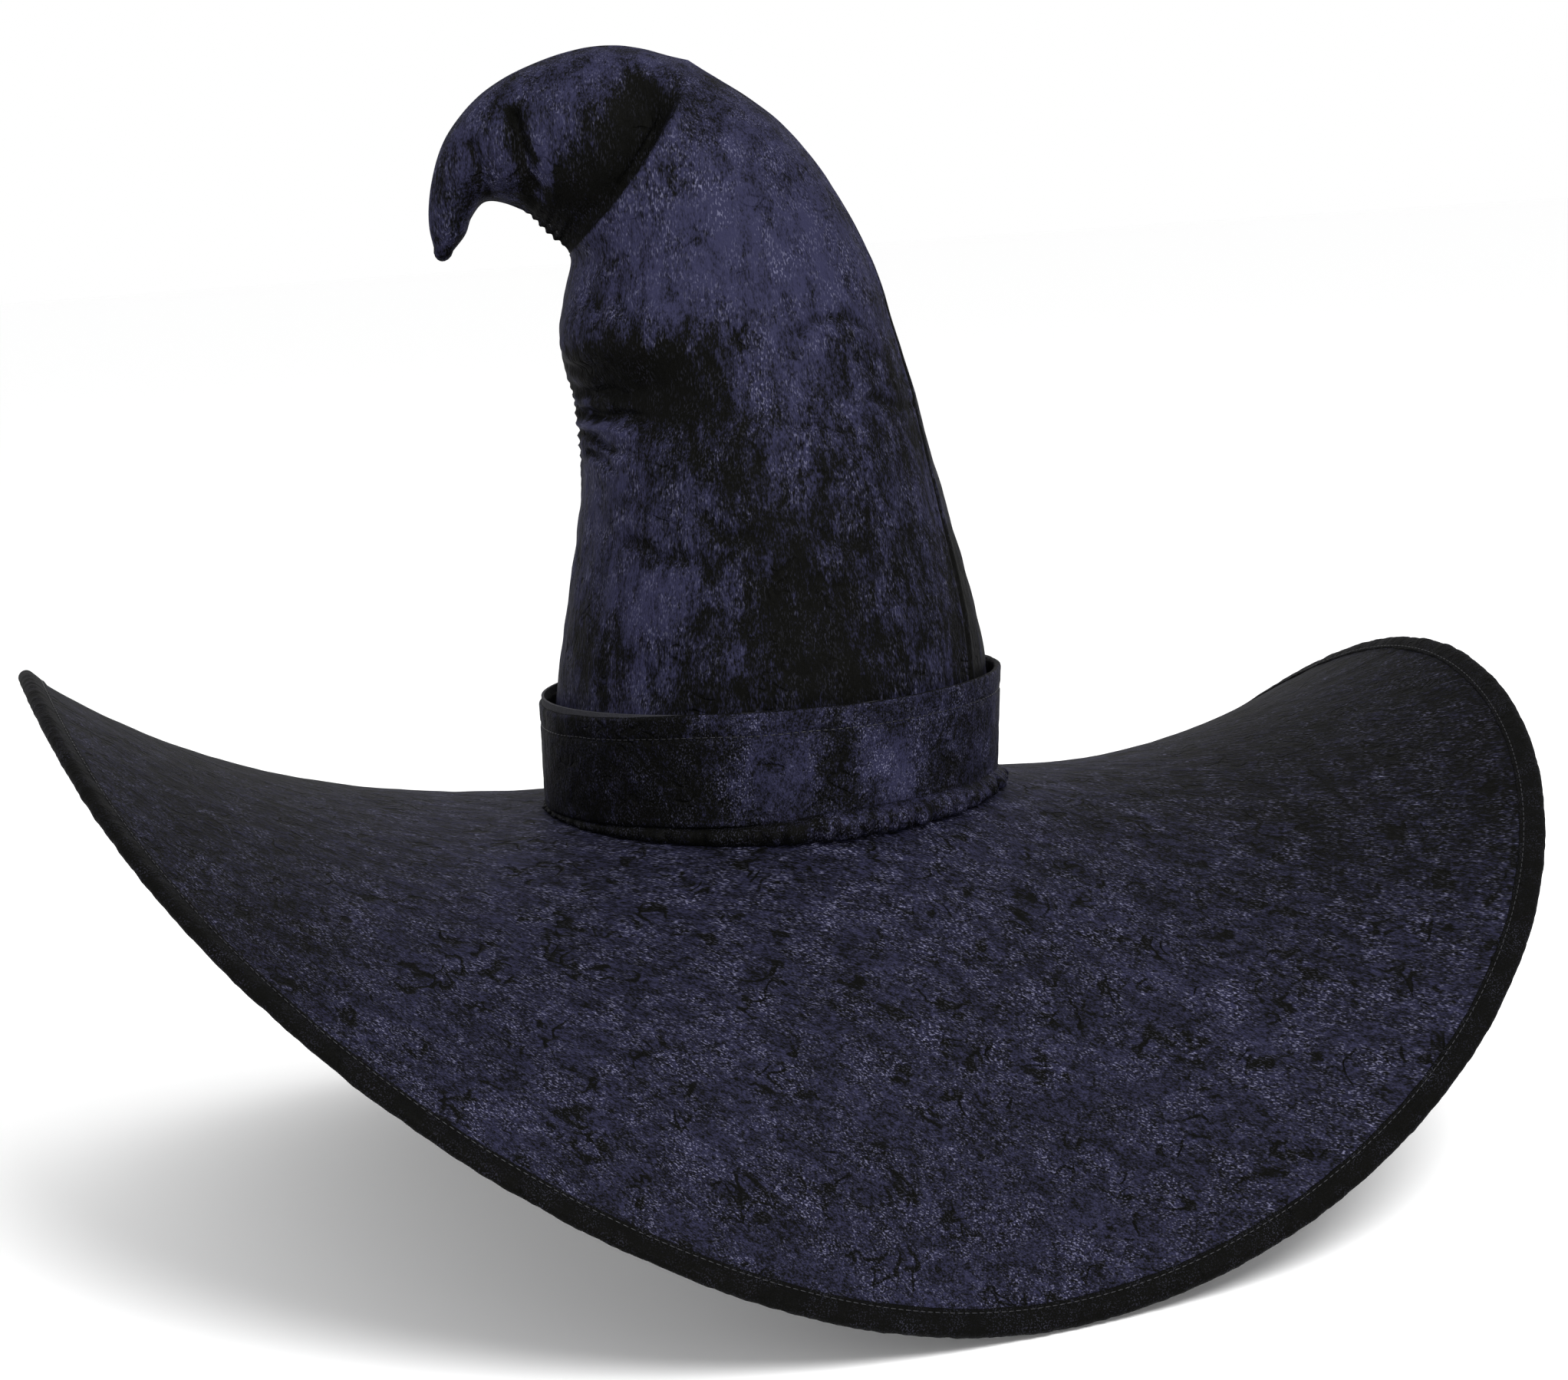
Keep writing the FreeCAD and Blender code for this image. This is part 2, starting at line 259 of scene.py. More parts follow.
def set_input(modifier, tree, name, value):
    """Sets a modifier's input by the identifier of the socket that has this name."""
    for item in tree.interface.items_tree:
        if item.item_type == "SOCKET" and item.in_out == "INPUT" and item.name == name:
            modifier[item.identifier] = value
            return
    raise ValueError(f"{tree.name} has no input named {name}")


def geometry_tree(name, inputs):
    """A Geometry Nodes tree with named inputs, and its group input and output nodes."""
    tree = bpy.data.node_groups.new(name, "GeometryNodeTree")
    tree.interface.new_socket("Geometry", in_out="INPUT", socket_type="NodeSocketGeometry")
    tree.interface.new_socket("Geometry", in_out="OUTPUT", socket_type="NodeSocketGeometry")
    for label, kind, value in inputs:
        socket = tree.interface.new_socket(label, in_out="INPUT", socket_type=kind)
        if value is not None:
            socket.default_value = value
    return tree, add(tree, "NodeGroupInput"), add(tree, "NodeGroupOutput")


def made_real(obj, tree, name, **values):
    """Runs a tree on an object and returns the result as a plain mesh object."""
    modifier = obj.modifiers.new(tree.name, "NODES")
    modifier.node_group = tree
    for label, value in values.items():
        set_input(modifier, tree, label.replace("_", " "), value)
    bpy.context.view_layer.update()
    seen = obj.evaluated_get(bpy.context.evaluated_depsgraph_get())
    mesh = bpy.data.meshes.new_from_object(seen)
    obj.modifiers.clear()
    bpy.data.objects.remove(obj)
    result = bpy.data.objects.new(name, mesh)
    mesh.name = name
    bpy.context.scene.collection.objects.link(result)
    mesh.polygons.foreach_set("use_smooth", [True] * len(mesh.polygons))
    return result


def with_thickness(obj, thickness, offset=-1.0):
    """Gives a one-layer sheet its thickness, inward from its face."""
    solid = obj.modifiers.new("Cloth thickness", "SOLIDIFY")
    solid.thickness = thickness
    solid.offset = offset
    solid.use_even_offset = True
    bpy.context.view_layer.update()
    seen = obj.evaluated_get(bpy.context.evaluated_depsgraph_get())
    mesh = bpy.data.meshes.new_from_object(seen)
    old = obj.data
    obj.modifiers.clear()
    obj.data = mesh
    bpy.data.meshes.remove(old)
    mesh.name = obj.name
    return obj


# ---- materials --------------------------------------------------------------------------
def new_material(name):
    """A material with its node tree and its surface shader."""
    material = bpy.data.materials.new(name)
    material.use_nodes = True
    tree = material.node_tree
    shader = tree.nodes["Principled BSDF"]
    return material, tree, shader


def crushed_velvet(name, grain, level=0.0, broad_by=0.9, crush_by=2.2, streak_by=1.3, fibre_by=1.8,
                   marks_by=0.3, turn=0.0, glint_size=0.6, glint_by=1.0):
    """Polyester velvet whose pile was crushed while damp, so that it lies in all directions.

    Pile that lies toward the eye is a soft navy blue, pile that lies away is nearly black,
    and a few fibres are painted as glints in the colour. The edges of the patches are feathered along the
    pile.
    """
    material, tree, shader = new_material(name)
    place = add(tree, "ShaderNodeAttribute", attribute_name="cloth").outputs["Vector"]
    # the mesh's tone attribute: crushed pile with painted shade and painted light
    nap = add(tree, "ShaderNodeAttribute", attribute_name="nap").outputs["Fac"]
    turned = add(tree, "ShaderNodeMapping", {"Vector": place, "Rotation": (0.0, 0.0, turn)}).outputs[0]
    along = add(tree, "ShaderNodeMapping", {"Vector": turned, "Scale": grain}).outputs[0]

    known = {
        "nap": nap, "middle": 0.5 + level, "broad_by": broad_by, "crush_by": crush_by,
        "streak_by": streak_by, "fibre_by": fibre_by, "marks_by": marks_by,
        "glint_by": glint_by,
    }
    # each pattern's size is in mm: patches, crush marks, streaks and single fibres
    for key, vector, size, detail, rough, twist in (
            ("broad", place, 42.0, 2.0, 0.55, 0.0),
            ("crush", along, 8.0, 5.0, 0.64, 0.6),
            ("streak", along, 2.2, 3.0, 0.6, 0.0),
            ("fibre", along, 0.7, 1.0, 0.7, 0.0),
            ("ridge", place, 14.0, 1.0, 0.5, 1.0),
            ("where", place, 17.0, 1.0, 0.55, 0.0),
            ("group", place, 12.0, 2.0, 0.55, 0.0),
            ("glint", along, glint_size, 0.0, 0.55, 0.0)):
        values = {"Vector": vector, "Scale": 1.0 / (size * MM), "Detail": detail,
                  "Roughness": rough, "Distortion": twist}
        known[key] = add(tree, "ShaderNodeTexNoise", values).outputs["Fac"]
    known["mark"] = formula(
        tree, "maximum(1.0 - absolute(ridge - 0.5) * 17.0, 0.0)"
        " * minimum(maximum(where - 0.55, 0.0) * 12.0, 1.0)", **known)
    tone = formula(
        tree,
        "middle + nap * 0.42 + (broad - 0.5) * broad_by + (crush - 0.5) * crush_by"
        " + (streak - 0.5) * streak_by + (fibre - 0.5) * fibre_by - mark * marks_by", **known)
    pile = add(tree, "ShaderNodeMapRange", [tone, -0.10, 1.15, 0.0, 1.0],
               interpolation_type="SMOOTHSTEP").outputs[0]
    base = add(tree, "ShaderNodeMix", data_type="RGBA")
    base.inputs["A"].default_value = [*colours().velvet_dark, 1.0]
    base.inputs["B"].default_value = [*colours().velvet_lit, 1.0]
    tree.links.new(pile, base.inputs["Factor"])
    known["pile"] = pile
    # painted glints: single fibres painted bright in the colour, in clusters
    flash = formula(
        tree, "minimum(maximum(glint - 0.58, 0.0) * 9.0, 1.0) * maximum(group - 0.38, 0.02) * 2.4"
        " * (pile + 0.15) * glint_by", **known)
    with_painted_glints = add(tree, "ShaderNodeMix", data_type="RGBA")
    tree.links.new(flash, with_painted_glints.inputs["Factor"])
    tree.links.new(base.outputs["Result"], with_painted_glints.inputs["A"])
    with_painted_glints.inputs["B"].default_value = [*colours().painted_glint_colour, 1.0]
    tree.links.new(with_painted_glints.outputs["Result"], shader.inputs["Base Color"])

    relief = formula(tree, "crush * 1.0 + streak * 0.35 + fibre * 0.16 - mark * 0.4", **known)
    bump = add(tree, "ShaderNodeBump",
               {"Strength": 0.8, "Distance": 1.6 * MM, "Height": relief}).outputs[0]
    tree.links.new(bump, shader.inputs["Normal"])
    shader.inputs["Roughness"].default_value = 0.62
    shader.inputs["Specular IOR Level"].default_value = 0.025
    shader.inputs["Sheen Weight"].default_value = 0.006
    shader.inputs["Sheen Roughness"].default_value = 0.5
    shader.inputs["Sheen Tint"].default_value = [0.45, 0.45, 0.62, 1.0]
    return material


def laminated_foam():
    """Fine-celled foam with a brushed knit skin: matt, grey-black, faintly pitted."""
    material, tree, shader = new_material("laminated foam backing")
    place = add(tree, "ShaderNodeTexCoord").outputs["Object"]
    cell = add(tree, "ShaderNodeTexVoronoi", {"Vector": place, "Scale": 1.0 / (1.6 * MM)})
    mottle = add(tree, "ShaderNodeTexNoise",
                 {"Vector": place, "Scale": 1.0 / (9.0 * MM), "Detail": 4.0}).outputs["Fac"]
    base = add(tree, "ShaderNodeMix", data_type="RGBA")
    base.inputs["A"].default_value = [*[0.6 * v for v in colours().foam], 1.0]
    base.inputs["B"].default_value = [*[1.3 * v for v in colours().foam], 1.0]
    tree.links.new(mottle, base.inputs["Factor"])
    tree.links.new(base.outputs["Result"], shader.inputs["Base Color"])
    bump = add(tree, "ShaderNodeBump", {"Strength": 0.5, "Distance": 0.4 * MM,
                                        "Height": cell.outputs["Distance"]}).outputs[0]
    tree.links.new(bump, shader.inputs["Normal"])
    shader.inputs["Roughness"].default_value = 0.9
    shader.inputs["Specular IOR Level"].default_value = 0.2
    return material


def ribbed_ribbon():
    """Grosgrain ribbon: close cross ribs in a dull black satin."""
    material, tree, shader = new_material("grosgrain ribbon")
    spot = add(tree, "ShaderNodeTexCoord").outputs["Object"]
    split = add(tree, "ShaderNodeSeparateXYZ", [spot])
    turn = formula(tree, "arctan2(y, x)", x=split.outputs["X"], y=split.outputs["Y"])
    rib = formula(tree, "sine(turn * 410.0) * 0.5 + 0.5", turn=turn)
    base = add(tree, "ShaderNodeMix", data_type="RGBA")
    base.inputs["A"].default_value = [*[0.5 * v for v in colours().ribbon], 1.0]
    base.inputs["B"].default_value = [*[1.5 * v for v in colours().ribbon], 1.0]
    tree.links.new(rib, base.inputs["Factor"])
    tree.links.new(base.outputs["Result"], shader.inputs["Base Color"])
    bump = add(tree, "ShaderNodeBump",
               {"Strength": 0.6, "Distance": 0.3 * MM, "Height": rib}).outputs[0]
    tree.links.new(bump, shader.inputs["Normal"])
    shader.inputs["Roughness"].default_value = 0.5
    shader.inputs["Specular IOR Level"].default_value = 0.3
    return material


def sewing_thread():
    """Twisted polyester thread: a dull dark blue with a slight shine."""
    material, tree, shader = new_material("polyester sewing thread")
    place = add(tree, "ShaderNodeTexCoord").outputs["Object"]
    twist = add(tree, "ShaderNodeTexNoise",
                {"Vector": place, "Scale": 1.0 / (0.5 * MM), "Detail": 1.0}).outputs["Fac"]
    base = add(tree, "ShaderNodeMix", data_type="RGBA")
    base.inputs["A"].default_value = [*[0.6 * v for v in colours().thread], 1.0]
    base.inputs["B"].default_value = [*[1.6 * v for v in colours().thread], 1.0]
    tree.links.new(twist, base.inputs["Factor"])
    tree.links.new(base.outputs["Result"], shader.inputs["Base Color"])
    shader.inputs["Roughness"].default_value = 0.45
    shader.inputs["Specular IOR Level"].default_value = 0.35
    return material


def braided_elastic():
    """Flat braided elastic: fine lengthwise ribs of covered rubber."""
    material, tree, shader = new_material("braided elastic")
    place = add(tree, "ShaderNodeAttribute", attribute_name="cloth").outputs["Vector"]
    split = add(tree, "ShaderNodeSeparateXYZ", [place])
    rib = formula(tree, "sine(y * 6000.0) * 0.5 + 0.5", y=split.outputs["Y"])
    base = add(tree, "ShaderNodeMix", data_type="RGBA")
    base.inputs["A"].default_value = [*hex_colour("101013"), 1.0]
    base.inputs["B"].default_value = [*hex_colour("2c2c31"), 1.0]
    tree.links.new(rib, base.inputs["Factor"])
    tree.links.new(base.outputs["Result"], shader.inputs["Base Color"])
    bump = add(tree, "ShaderNodeBump",
               {"Strength": 0.5, "Distance": 0.2 * MM, "Height": rib}).outputs[0]
    tree.links.new(bump, shader.inputs["Normal"])
    shader.inputs["Roughness"].default_value = 0.6
    return material


def spring_wire_steel():
    """Drawn spring steel: bright, with fine lines along the wire."""
    material, tree, shader = new_material("drawn spring steel")
    place = add(tree, "ShaderNodeTexCoord").outputs["Object"]
    lines = add(tree, "ShaderNodeTexNoise",
                {"Vector": place, "Scale": 1.0 / (1.0 * MM), "Detail": 2.0}).outputs["Fac"]
    rough = add(tree, "ShaderNodeMapRange", [lines, 0.3, 0.7, 0.25, 0.4]).outputs[0]
    tree.links.new(rough, shader.inputs["Roughness"])
    shader.inputs["Base Color"].default_value = [*hex_colour("b8b8bc"), 1.0]
    shader.inputs["Metallic"].default_value = 1.0
    return material


MATERIALS = {}


def material_of(key):
    """The hat's materials, each made once."""
    makers = {
        "crown": lambda: crushed_velvet("crushed velvet, crown", (1.0, 1.0, 0.30), 0.0,
                                        glint_by=0.7),
        "brim": lambda: crushed_velvet("crushed velvet, brim", (0.30, 1.0, 1.0), -0.12, 0.35, 0.95, 1.4,
                                       1.8, 1.0, math.radians(18.0), 0.6, 1.5),
        "band": lambda: crushed_velvet("crushed velvet, band", (1.0, 1.0, 0.7), -0.15, 0.6, 1.5, 1.2),
        "hem": lambda: crushed_velvet("crushed velvet, hem", (1.0, 1.0, 1.0), -0.75, 0.3, 1.0, 1.2),
        "foam": laminated_foam,
        "ribbon": ribbed_ribbon,
        "thread": sewing_thread,
        "elastic": braided_elastic,
        "steel": spring_wire_steel,
    }
    if key not in MATERIALS:
        MATERIALS[key] = makers[key]()
    return MATERIALS[key]


# ---- the brim: flat cloth wrapped on a curve -----------------------------------------------
def brim_wrap_tree():
    """Bends flat cloth into the brim.

    A flat point's X is the angle around the hat in radians, its Y the distance out along the
    cloth and its Z the height above the brim's middle, both in metres.
    """
    number = "NodeSocketFloat"
    tree, start, end = geometry_tree("Wrap on the brim", [
        ("Brim width", number, 0.244),
        ("Root radius", number, 0.097),
        ("Mean slope", number, math.radians(-13.7)),
        ("Tilt", number, math.radians(8.7)),
        ("Saddle", number, math.radians(28.0)),
        ("Ripple", number, math.radians(2.0)),
        ("Curl", number, math.radians(39.5)),
        ("Relief height", number, 0.0),
        ("Relief size", number, 0.014),
        ("Material", "NodeSocketMaterial", None),
    ])
    flat = add(tree, "ShaderNodeSeparateXYZ", [add(tree, "GeometryNodeInputPosition").outputs[0]])
    known = {
        "a": flat.outputs["X"], "s": flat.outputs["Y"], "d": flat.outputs["Z"],
        "wide": start.outputs["Brim width"], "root": start.outputs["Root radius"],
        "mean": start.outputs["Mean slope"], "tilt": start.outputs["Tilt"],
        "saddle": start.outputs["Saddle"], "ripple": start.outputs["Ripple"],
        "curl": start.outputs["Curl"],
    }

    def work_out(name, text):
        known[name] = formula(tree, text, **known)

    known.update(tilt_at=math.radians(177.5), saddle_at=math.radians(16.5),
                 ripple_at=math.radians(21.5), curl_at=math.radians(18.4))
    work_out("mid", "mean + tilt * cosine(a - tilt_at) + saddle * cosine(2.0 * (a - saddle_at))"
                    " + ripple * cosine(3.0 * (a - ripple_at))")
    work_out("turn", "curl * cosine(2.0 * (a - curl_at))")
    work_out("low", "mid - turn * 0.5")
    work_out("half", "turn * s / (2.0 * wide) + 0.000001")
    work_out("chord", "s * sine(half) / half")
    work_out("slope", "low + 2.0 * half")
    work_out("r", "root + chord * cosine(low + half) - d * sine(slope)")
    work_out("z", "0.003 * cosine(2.0 * a) - 0.006 + chord * sine(low + half) + d * cosine(slope)")
    work_out("x", "r * cosine(a)")
    work_out("y", "r * sine(a)")
    place = add(tree, "ShaderNodeCombineXYZ", [known["x"], known["y"], known["z"]]).outputs[0]
    wrapped = add(tree, "GeometryNodeSetPosition",
                  {"Geometry": start.outputs["Geometry"], "Position": place}).outputs[0]

    spot = add(tree, "GeometryNodeInputPosition").outputs[0]
    cell = formula(tree, "1.0 / size", size=start.outputs["Relief size"])
    hills = add(tree, "ShaderNodeTexNoise",
                {"Vector": spot, "Scale": cell, "Detail": 3.0, "Roughness": 0.5}).outputs["Fac"]
    lift = formula(tree, "(hills - 0.5) * 2.0 * height", hills=hills,
                   height=start.outputs["Relief height"])
    push = add(tree, "ShaderNodeVectorMath",
               {0: add(tree, "GeometryNodeInputNormal").outputs[0], "Scale": lift},
               operation="SCALE").outputs[0]
    raised = add(tree, "GeometryNodeSetPosition", {"Geometry": wrapped, "Offset": push}).outputs[0]
    real = add(tree, "GeometryNodeRealizeInstances", [raised]).outputs[0]
    dressed = add(tree, "GeometryNodeSetMaterial",
                  {"Geometry": real, "Material": start.outputs["Material"]}).outputs[0]
    tree.links.new(dressed, end.inputs["Geometry"])
    return tree


def stitch_tree():
    """Sews a row of short stitches along a line of edges."""
    tree, start, end = geometry_tree("Row of stitches", [
        ("Pitch", "NodeSocketFloat", 0.0032),
        ("Stitch length", "NodeSocketFloat", 0.0024),
        ("Thread radius", "NodeSocketFloat", 0.00024),
        ("Material", "NodeSocketMaterial", None),
    ])
    line = add(tree, "GeometryNodeMeshToCurve", [start.outputs["Geometry"]]).outputs[0]
    spaced = add(tree, "GeometryNodeResampleCurve", {"Curve": line}, mode="LENGTH")
    tree.links.new(start.outputs["Pitch"], spaced.inputs["Length"])
    points = add(tree, "GeometryNodeCurveToPoints", {"Curve": spaced.outputs[0]}, mode="EVALUATED")
    bead = add(tree, "GeometryNodeMeshUVSphere", {"Segments": 8, "Rings": 6, "Radius": 1.0}).outputs[0]
    size = add(tree, "ShaderNodeCombineXYZ", [
        start.outputs["Thread radius"], start.outputs["Thread radius"],
        formula(tree, "length * 0.5", length=start.outputs["Stitch length"])]).outputs[0]
    sewn = add(tree, "GeometryNodeInstanceOnPoints", {
        "Points": points.outputs["Points"], "Instance": bead, "Scale": size})
    turned = add(tree, "FunctionNodeAlignRotationToVector",
                 {"Vector": points.outputs["Tangent"]}, axis="Z")
    tree.links.new(turned.outputs[0], sewn.inputs["Rotation"])
    real = add(tree, "GeometryNodeRealizeInstances", [sewn.outputs[0]]).outputs[0]
    dressed = add(tree, "GeometryNodeSetMaterial",
                  {"Geometry": real, "Material": start.outputs["Material"]}).outputs[0]
    tree.links.new(dressed, end.inputs["Geometry"])
    return tree


TREES = {}


def tree_of(key):
    """The Geometry Nodes trees, each made once."""
    makers = {"wrap": brim_wrap_tree, "stitch": stitch_tree}
    if key not in TREES:
        TREES[key] = makers[key]()
    return TREES[key]


def flat_cloth(name, profile, columns, closed_profile=False, shape=None):
    """Flat cloth for the brim: a profile of (out, up) in mm, repeated at each angle."""
    turns = np.arange(columns) * 2.0 * math.pi / columns
    points = np.zeros((columns, len(profile), 3))
    points[:, :, 0] = turns[:, None] / MM
    points[:, :, 1:] = np.array(profile)[None, :, :]
    if shape:
        shape(points, turns)
    faces = []
    across = len(profile)
    for i in range(columns):
        k = (i + 1) % columns
        for j in range(across if closed_profile else across - 1):
            m = (j + 1) % across
            faces.append((i * across + j, i * across + m, k * across + m, k * across + j))
    return mesh_object(name, points, faces)


def wrap_on_brim(obj, name, material, relief=0.0, size=14.0):
    """Bends a flat piece onto the brim, with hills `relief` high and `size` across in mm."""
    s = sizes()
    return made_real(obj, tree_of("wrap"), name, Brim_width=s.brim_width, Root_radius=s.root_radius,
                     Relief_height=relief * MM, Relief_size=size * MM, Material=material)


STITCH_SHARE = 0.75         # a stitch's length as a share of the distance to the next


def sew(name, line, body):
    """A row of stitches around a ring of points in millimetres."""
    edges = [(i, (i + 1) % len(line)) for i in range(len(line))]
    mesh = bpy.data.meshes.new(name)
    mesh.from_pydata((np.asarray(line) * MM).tolist(), edges, [])
    obj = bpy.data.objects.new(name, mesh)
    bpy.context.scene.collection.objects.link(obj)
    return sew_on(obj, name, body)


def sew_on(obj, name, body):
    """Turns a line of edges into a row of stitches that rides on a body."""
    s = sizes()
    row = made_real(obj, tree_of("stitch"), name, Pitch=s.stitch_pitch,
                    Stitch_length=STITCH_SHARE * s.stitch_pitch, Thread_radius=s.thread,
                    Material=material_of("thread"))
    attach(row, body)
    return row


class HAT_OT_brim(bpy.types.Operator):
    """Make the brim's top and under covers"""
    bl_idname = "hat.brim"
    bl_label = "Brim covers"

    def execute(self, context):
        s = sizes()
        inner = -4.6
        outer = s.brim_width / MM - 5.5
        steps = 72
        columns = 600
        across = [inner + (outer - inner) * i / steps for i in range(steps + 1)]
        for name, height, node in (("brim_top_cover", 1.95, "brim_top_velvet"),
                                   ("brim_under_cover", -1.95, "brim_under_velvet")):
            line = across if height > 0 else across[::-1]
            flat = flat_cloth(name, [(out, height) for out in line], columns)
            cover = wrap_on_brim(flat, name, material_of("brim"), 0.55, 16.0)
            with_thickness(cover, s.velvet)
            place = places_of(cover)
            ends = smooth_step(np.abs(place[:, 0] + 0.02), 0.10, 0.26)
            ends = ends * smooth_step(place[:, 1], -0.16, 0.0)
            left = smooth_step(-place[:, 0], 0.12, 0.24)
            # painted shade: darker toward both ends of the brim away from its near edge, and over its left
            # side
            keep_cloth_place(cover, -0.9 * ends - 0.55 * left * (1.0 - ends))
            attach(cover, "hat_base")
            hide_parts(node)
        return {"FINISHED"}


def hem_profile():
    """The channel's section, anticlockwise from its inner top edge: (out, up) in mm."""
    outer = sizes().brim_width / MM
    inner = outer - sizes().hem_width / MM
    top = [(inner, 1.3), (inner + 0.1, 2.3), (inner + 0.8, 2.75), (inner + 1.9, 2.45),
           (inner + 3.0, 2.75), (outer - 5.5, 3.15)]
    middle = outer - 3.2
    arc = [(middle + 3.2 * math.cos(t), 3.3 * math.sin(t))
           for t in [math.radians(90.0 - 18.0 * i) for i in range(11)]]
    under = [(out, -up) for out, up in top[::-1]]
    return top + arc + under


class HAT_OT_hem(bpy.types.Operator):
    """Make the stitched channel around the brim that holds the wire"""
    bl_idname = "hat.hem"
    bl_label = "Brim hem"

    def execute(self, context):
        columns = 1400

        def pucker(points, turns):
            ring = np.stack([np.cos(turns), np.sin(turns), 0 * turns], 1) * 330.0
            small = noise_at(ring, 5.5, 1)[:, None]
            slow = noise_at(ring, 28.0, 2)[:, None]
            fine = noise_at(ring, 2.6, 3)[:, None]
            up = points[:, :, 2]
            points[:, :, 2] += np.sign(up) * (0.30 * small + 0.16 * fine)
            outward = smooth_step(points[:, :, 1], 236.0, 244.0)
            points[:, :, 1] += outward * (0.35 * slow + 0.30 * small + 0.22 * fine)
            inward = 1.0 - smooth_step(points[:, :, 1], 233.0, 236.0)
            points[:, :, 1] += inward * (0.45 * slow + 0.35 * small)

        flat = flat_cloth("brim_hem", hem_profile()[::-1], columns, True, pucker)
        hem = wrap_on_brim(flat, "brim_hem", material_of("hem"), 0.12, 4.0)
        keep_cloth_place(hem, -0.35 * np.ones(len(hem.data.vertices)))
        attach(hem, "hat_base")
        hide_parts("brim_edge_binding")
        groove = sizes().brim_width / MM - sizes().hem_width / MM + 1.9
        for name, height in (("hem_stitches_top", 2.6), ("hem_stitches_under", -2.6)):
            line = flat_line(groove, height, 1400)
            row = wrap_on_brim(line, name, material_of("thread"))
            row = sew_on(row, name, "hat_base")
        return {"FINISHED"}


def flat_line(out, up, columns):
    """A closed line of edges on the flat brim."""
    mesh = bpy.data.meshes.new("line")
    points = [(2.0 * math.pi * i / columns, out * MM, up * MM) for i in range(columns)]
    mesh.from_pydata(points, [(i, (i + 1) % columns) for i in range(columns)], [])
    obj = bpy.data.objects.new("line", mesh)
    bpy.context.scene.collection.objects.link(obj)
    return obj


# ---- the crown ---------------------------------------------------------------------------
# Front seam (x, z), back seam (x, z) and half depth in mm, from the base to the point.
LOWER_CROWN = [
    (-96.5, 1.5, 97.0, 1.5, 96.5),
    (-95.3, 23.0, 98.8, 23.0, 96.0),
    (-89.5, 57.0, 98.5, 57.0, 91.0),
    (-77.5, 120.0, 86.0, 120.0, 78.0),
    (-72.5, 155.0, 78.5, 155.0, 71.0),
    (-74.0, 178.0, 75.5, 171.0, 65.5),
]
UPPER_CROWN = [
    (-74.0, 178.0, 75.5, 171.0, 65.5),
    (-79.0, 205.0, 67.0, 205.0, 58.5),
    (-74.0, 227.0, 60.0, 230.0, 54.0),
    (-70.5, 238.0, 48.0, 257.0, 50.0),
    (-71.5, 243.0, 24.0, 292.0, 46.0),
    (-73.0, 245.5, -14.0, 321.0, 40.0),
]
CROWN_TIP = [
    (-73.0, 245.5, -14.0, 321.0, 40.0),
    (-80.0, 252.0, -45.0, 329.6, 32.5),
    (-88.0, 260.5, -75.0, 326.0, 27.0),
    (-98.0, 265.5, -103.0, 314.0, 21.5),
    (-107.0, 266.3, -120.0, 297.0, 16.0),
    (-113.0, 260.0, -129.0, 277.0, 11.0),
    (-117.0, 252.0, -131.7, 257.0, 8.0),
    (-122.0, 246.5, -130.5, 248.5, 4.2),
]
GATHERED_SPACING = 1.1      # mm between rows where the cloth is gathered
BACK_SEAM_ANGLE = 30.0      # how far the back seam is turned at the base, in degrees
BACK_SEAM_STRAIGHT = 290.0  # the height in mm from which it runs straight
FOLD_MIDDLE = np.array([-43.5, 0.0, 283.25])
FOLD_NORMAL = np.array([-0.788, 0.0, 0.616])
FOLD_UP = np.array([0.616, 0.0, 0.788])

# Dark (below 0) and lit patches on the near side, partly crushed pile and partly painted: painted shade
# under the waist's overhang, along the right edge and just above the band, and painted light on the upper
# crown. Each is x, z, half width, half height and strength.
NAP_AND_SHADE_PATCHES = [
    (-53.0, 192.0, 28.0, 15.0, -1.5), (-28.0, 184.0, 19.0, 22.0, -1.3), (-48.0, 176.0, 28.0, 9.0, -1.0),
    (-8.0, 156.0, 14.0, 22.0, -1.0), (0.0, 130.0, 11.0, 20.0, -0.9), (45.0, 80.0, 50.0, 40.0, -0.85),
    (15.0, 102.0, 24.0, 26.0, -0.5), (0.0, 68.0, 44.0, 24.0, -0.8), (-69.0, 72.0, 14.0, 22.0, -0.9),
    (-45.0, 95.0, 25.0, 15.0, 0.55), (-60.0, 138.0, 15.0, 16.0, 0.4), (-38.0, 128.0, 14.0, 8.0, 0.2),
    (-30.0, 111.0, 24.0, 7.0, -0.5), (-15.0, 240.0, 45.0, 28.0, 0.75), (18.0, 256.0, 30.0, 44.0, 0.55),
    (45.0, 186.0, 18.0, 13.0, -0.3), (60.0, 152.0, 26.0, 14.0, -0.5), (90.0, 70.0, 8.0, 50.0, -1.0),
    (30.0, 130.0, 30.0, 16.0, -0.35), (-60.0, 312.0, 22.0, 8.0, 0.3), (-88.0, 284.0, 4.5, 20.0, -1.3),
    (-107.0, 280.0, 2.5, 11.0, -0.8), (-78.0, 278.0, 3.0, 14.0, 0.6), (72.0, 205.0, 9.0, 50.0, -0.5),
    (-62.0, 168.0, 14.0, 3.0, 1.2), (-118.0, 262.0, 14.0, 22.0, -0.35), (0.0, 52.0, 80.0, 8.0, -0.5),
    (38.0, 212.0, 28.0, 30.0, 0.4),
]

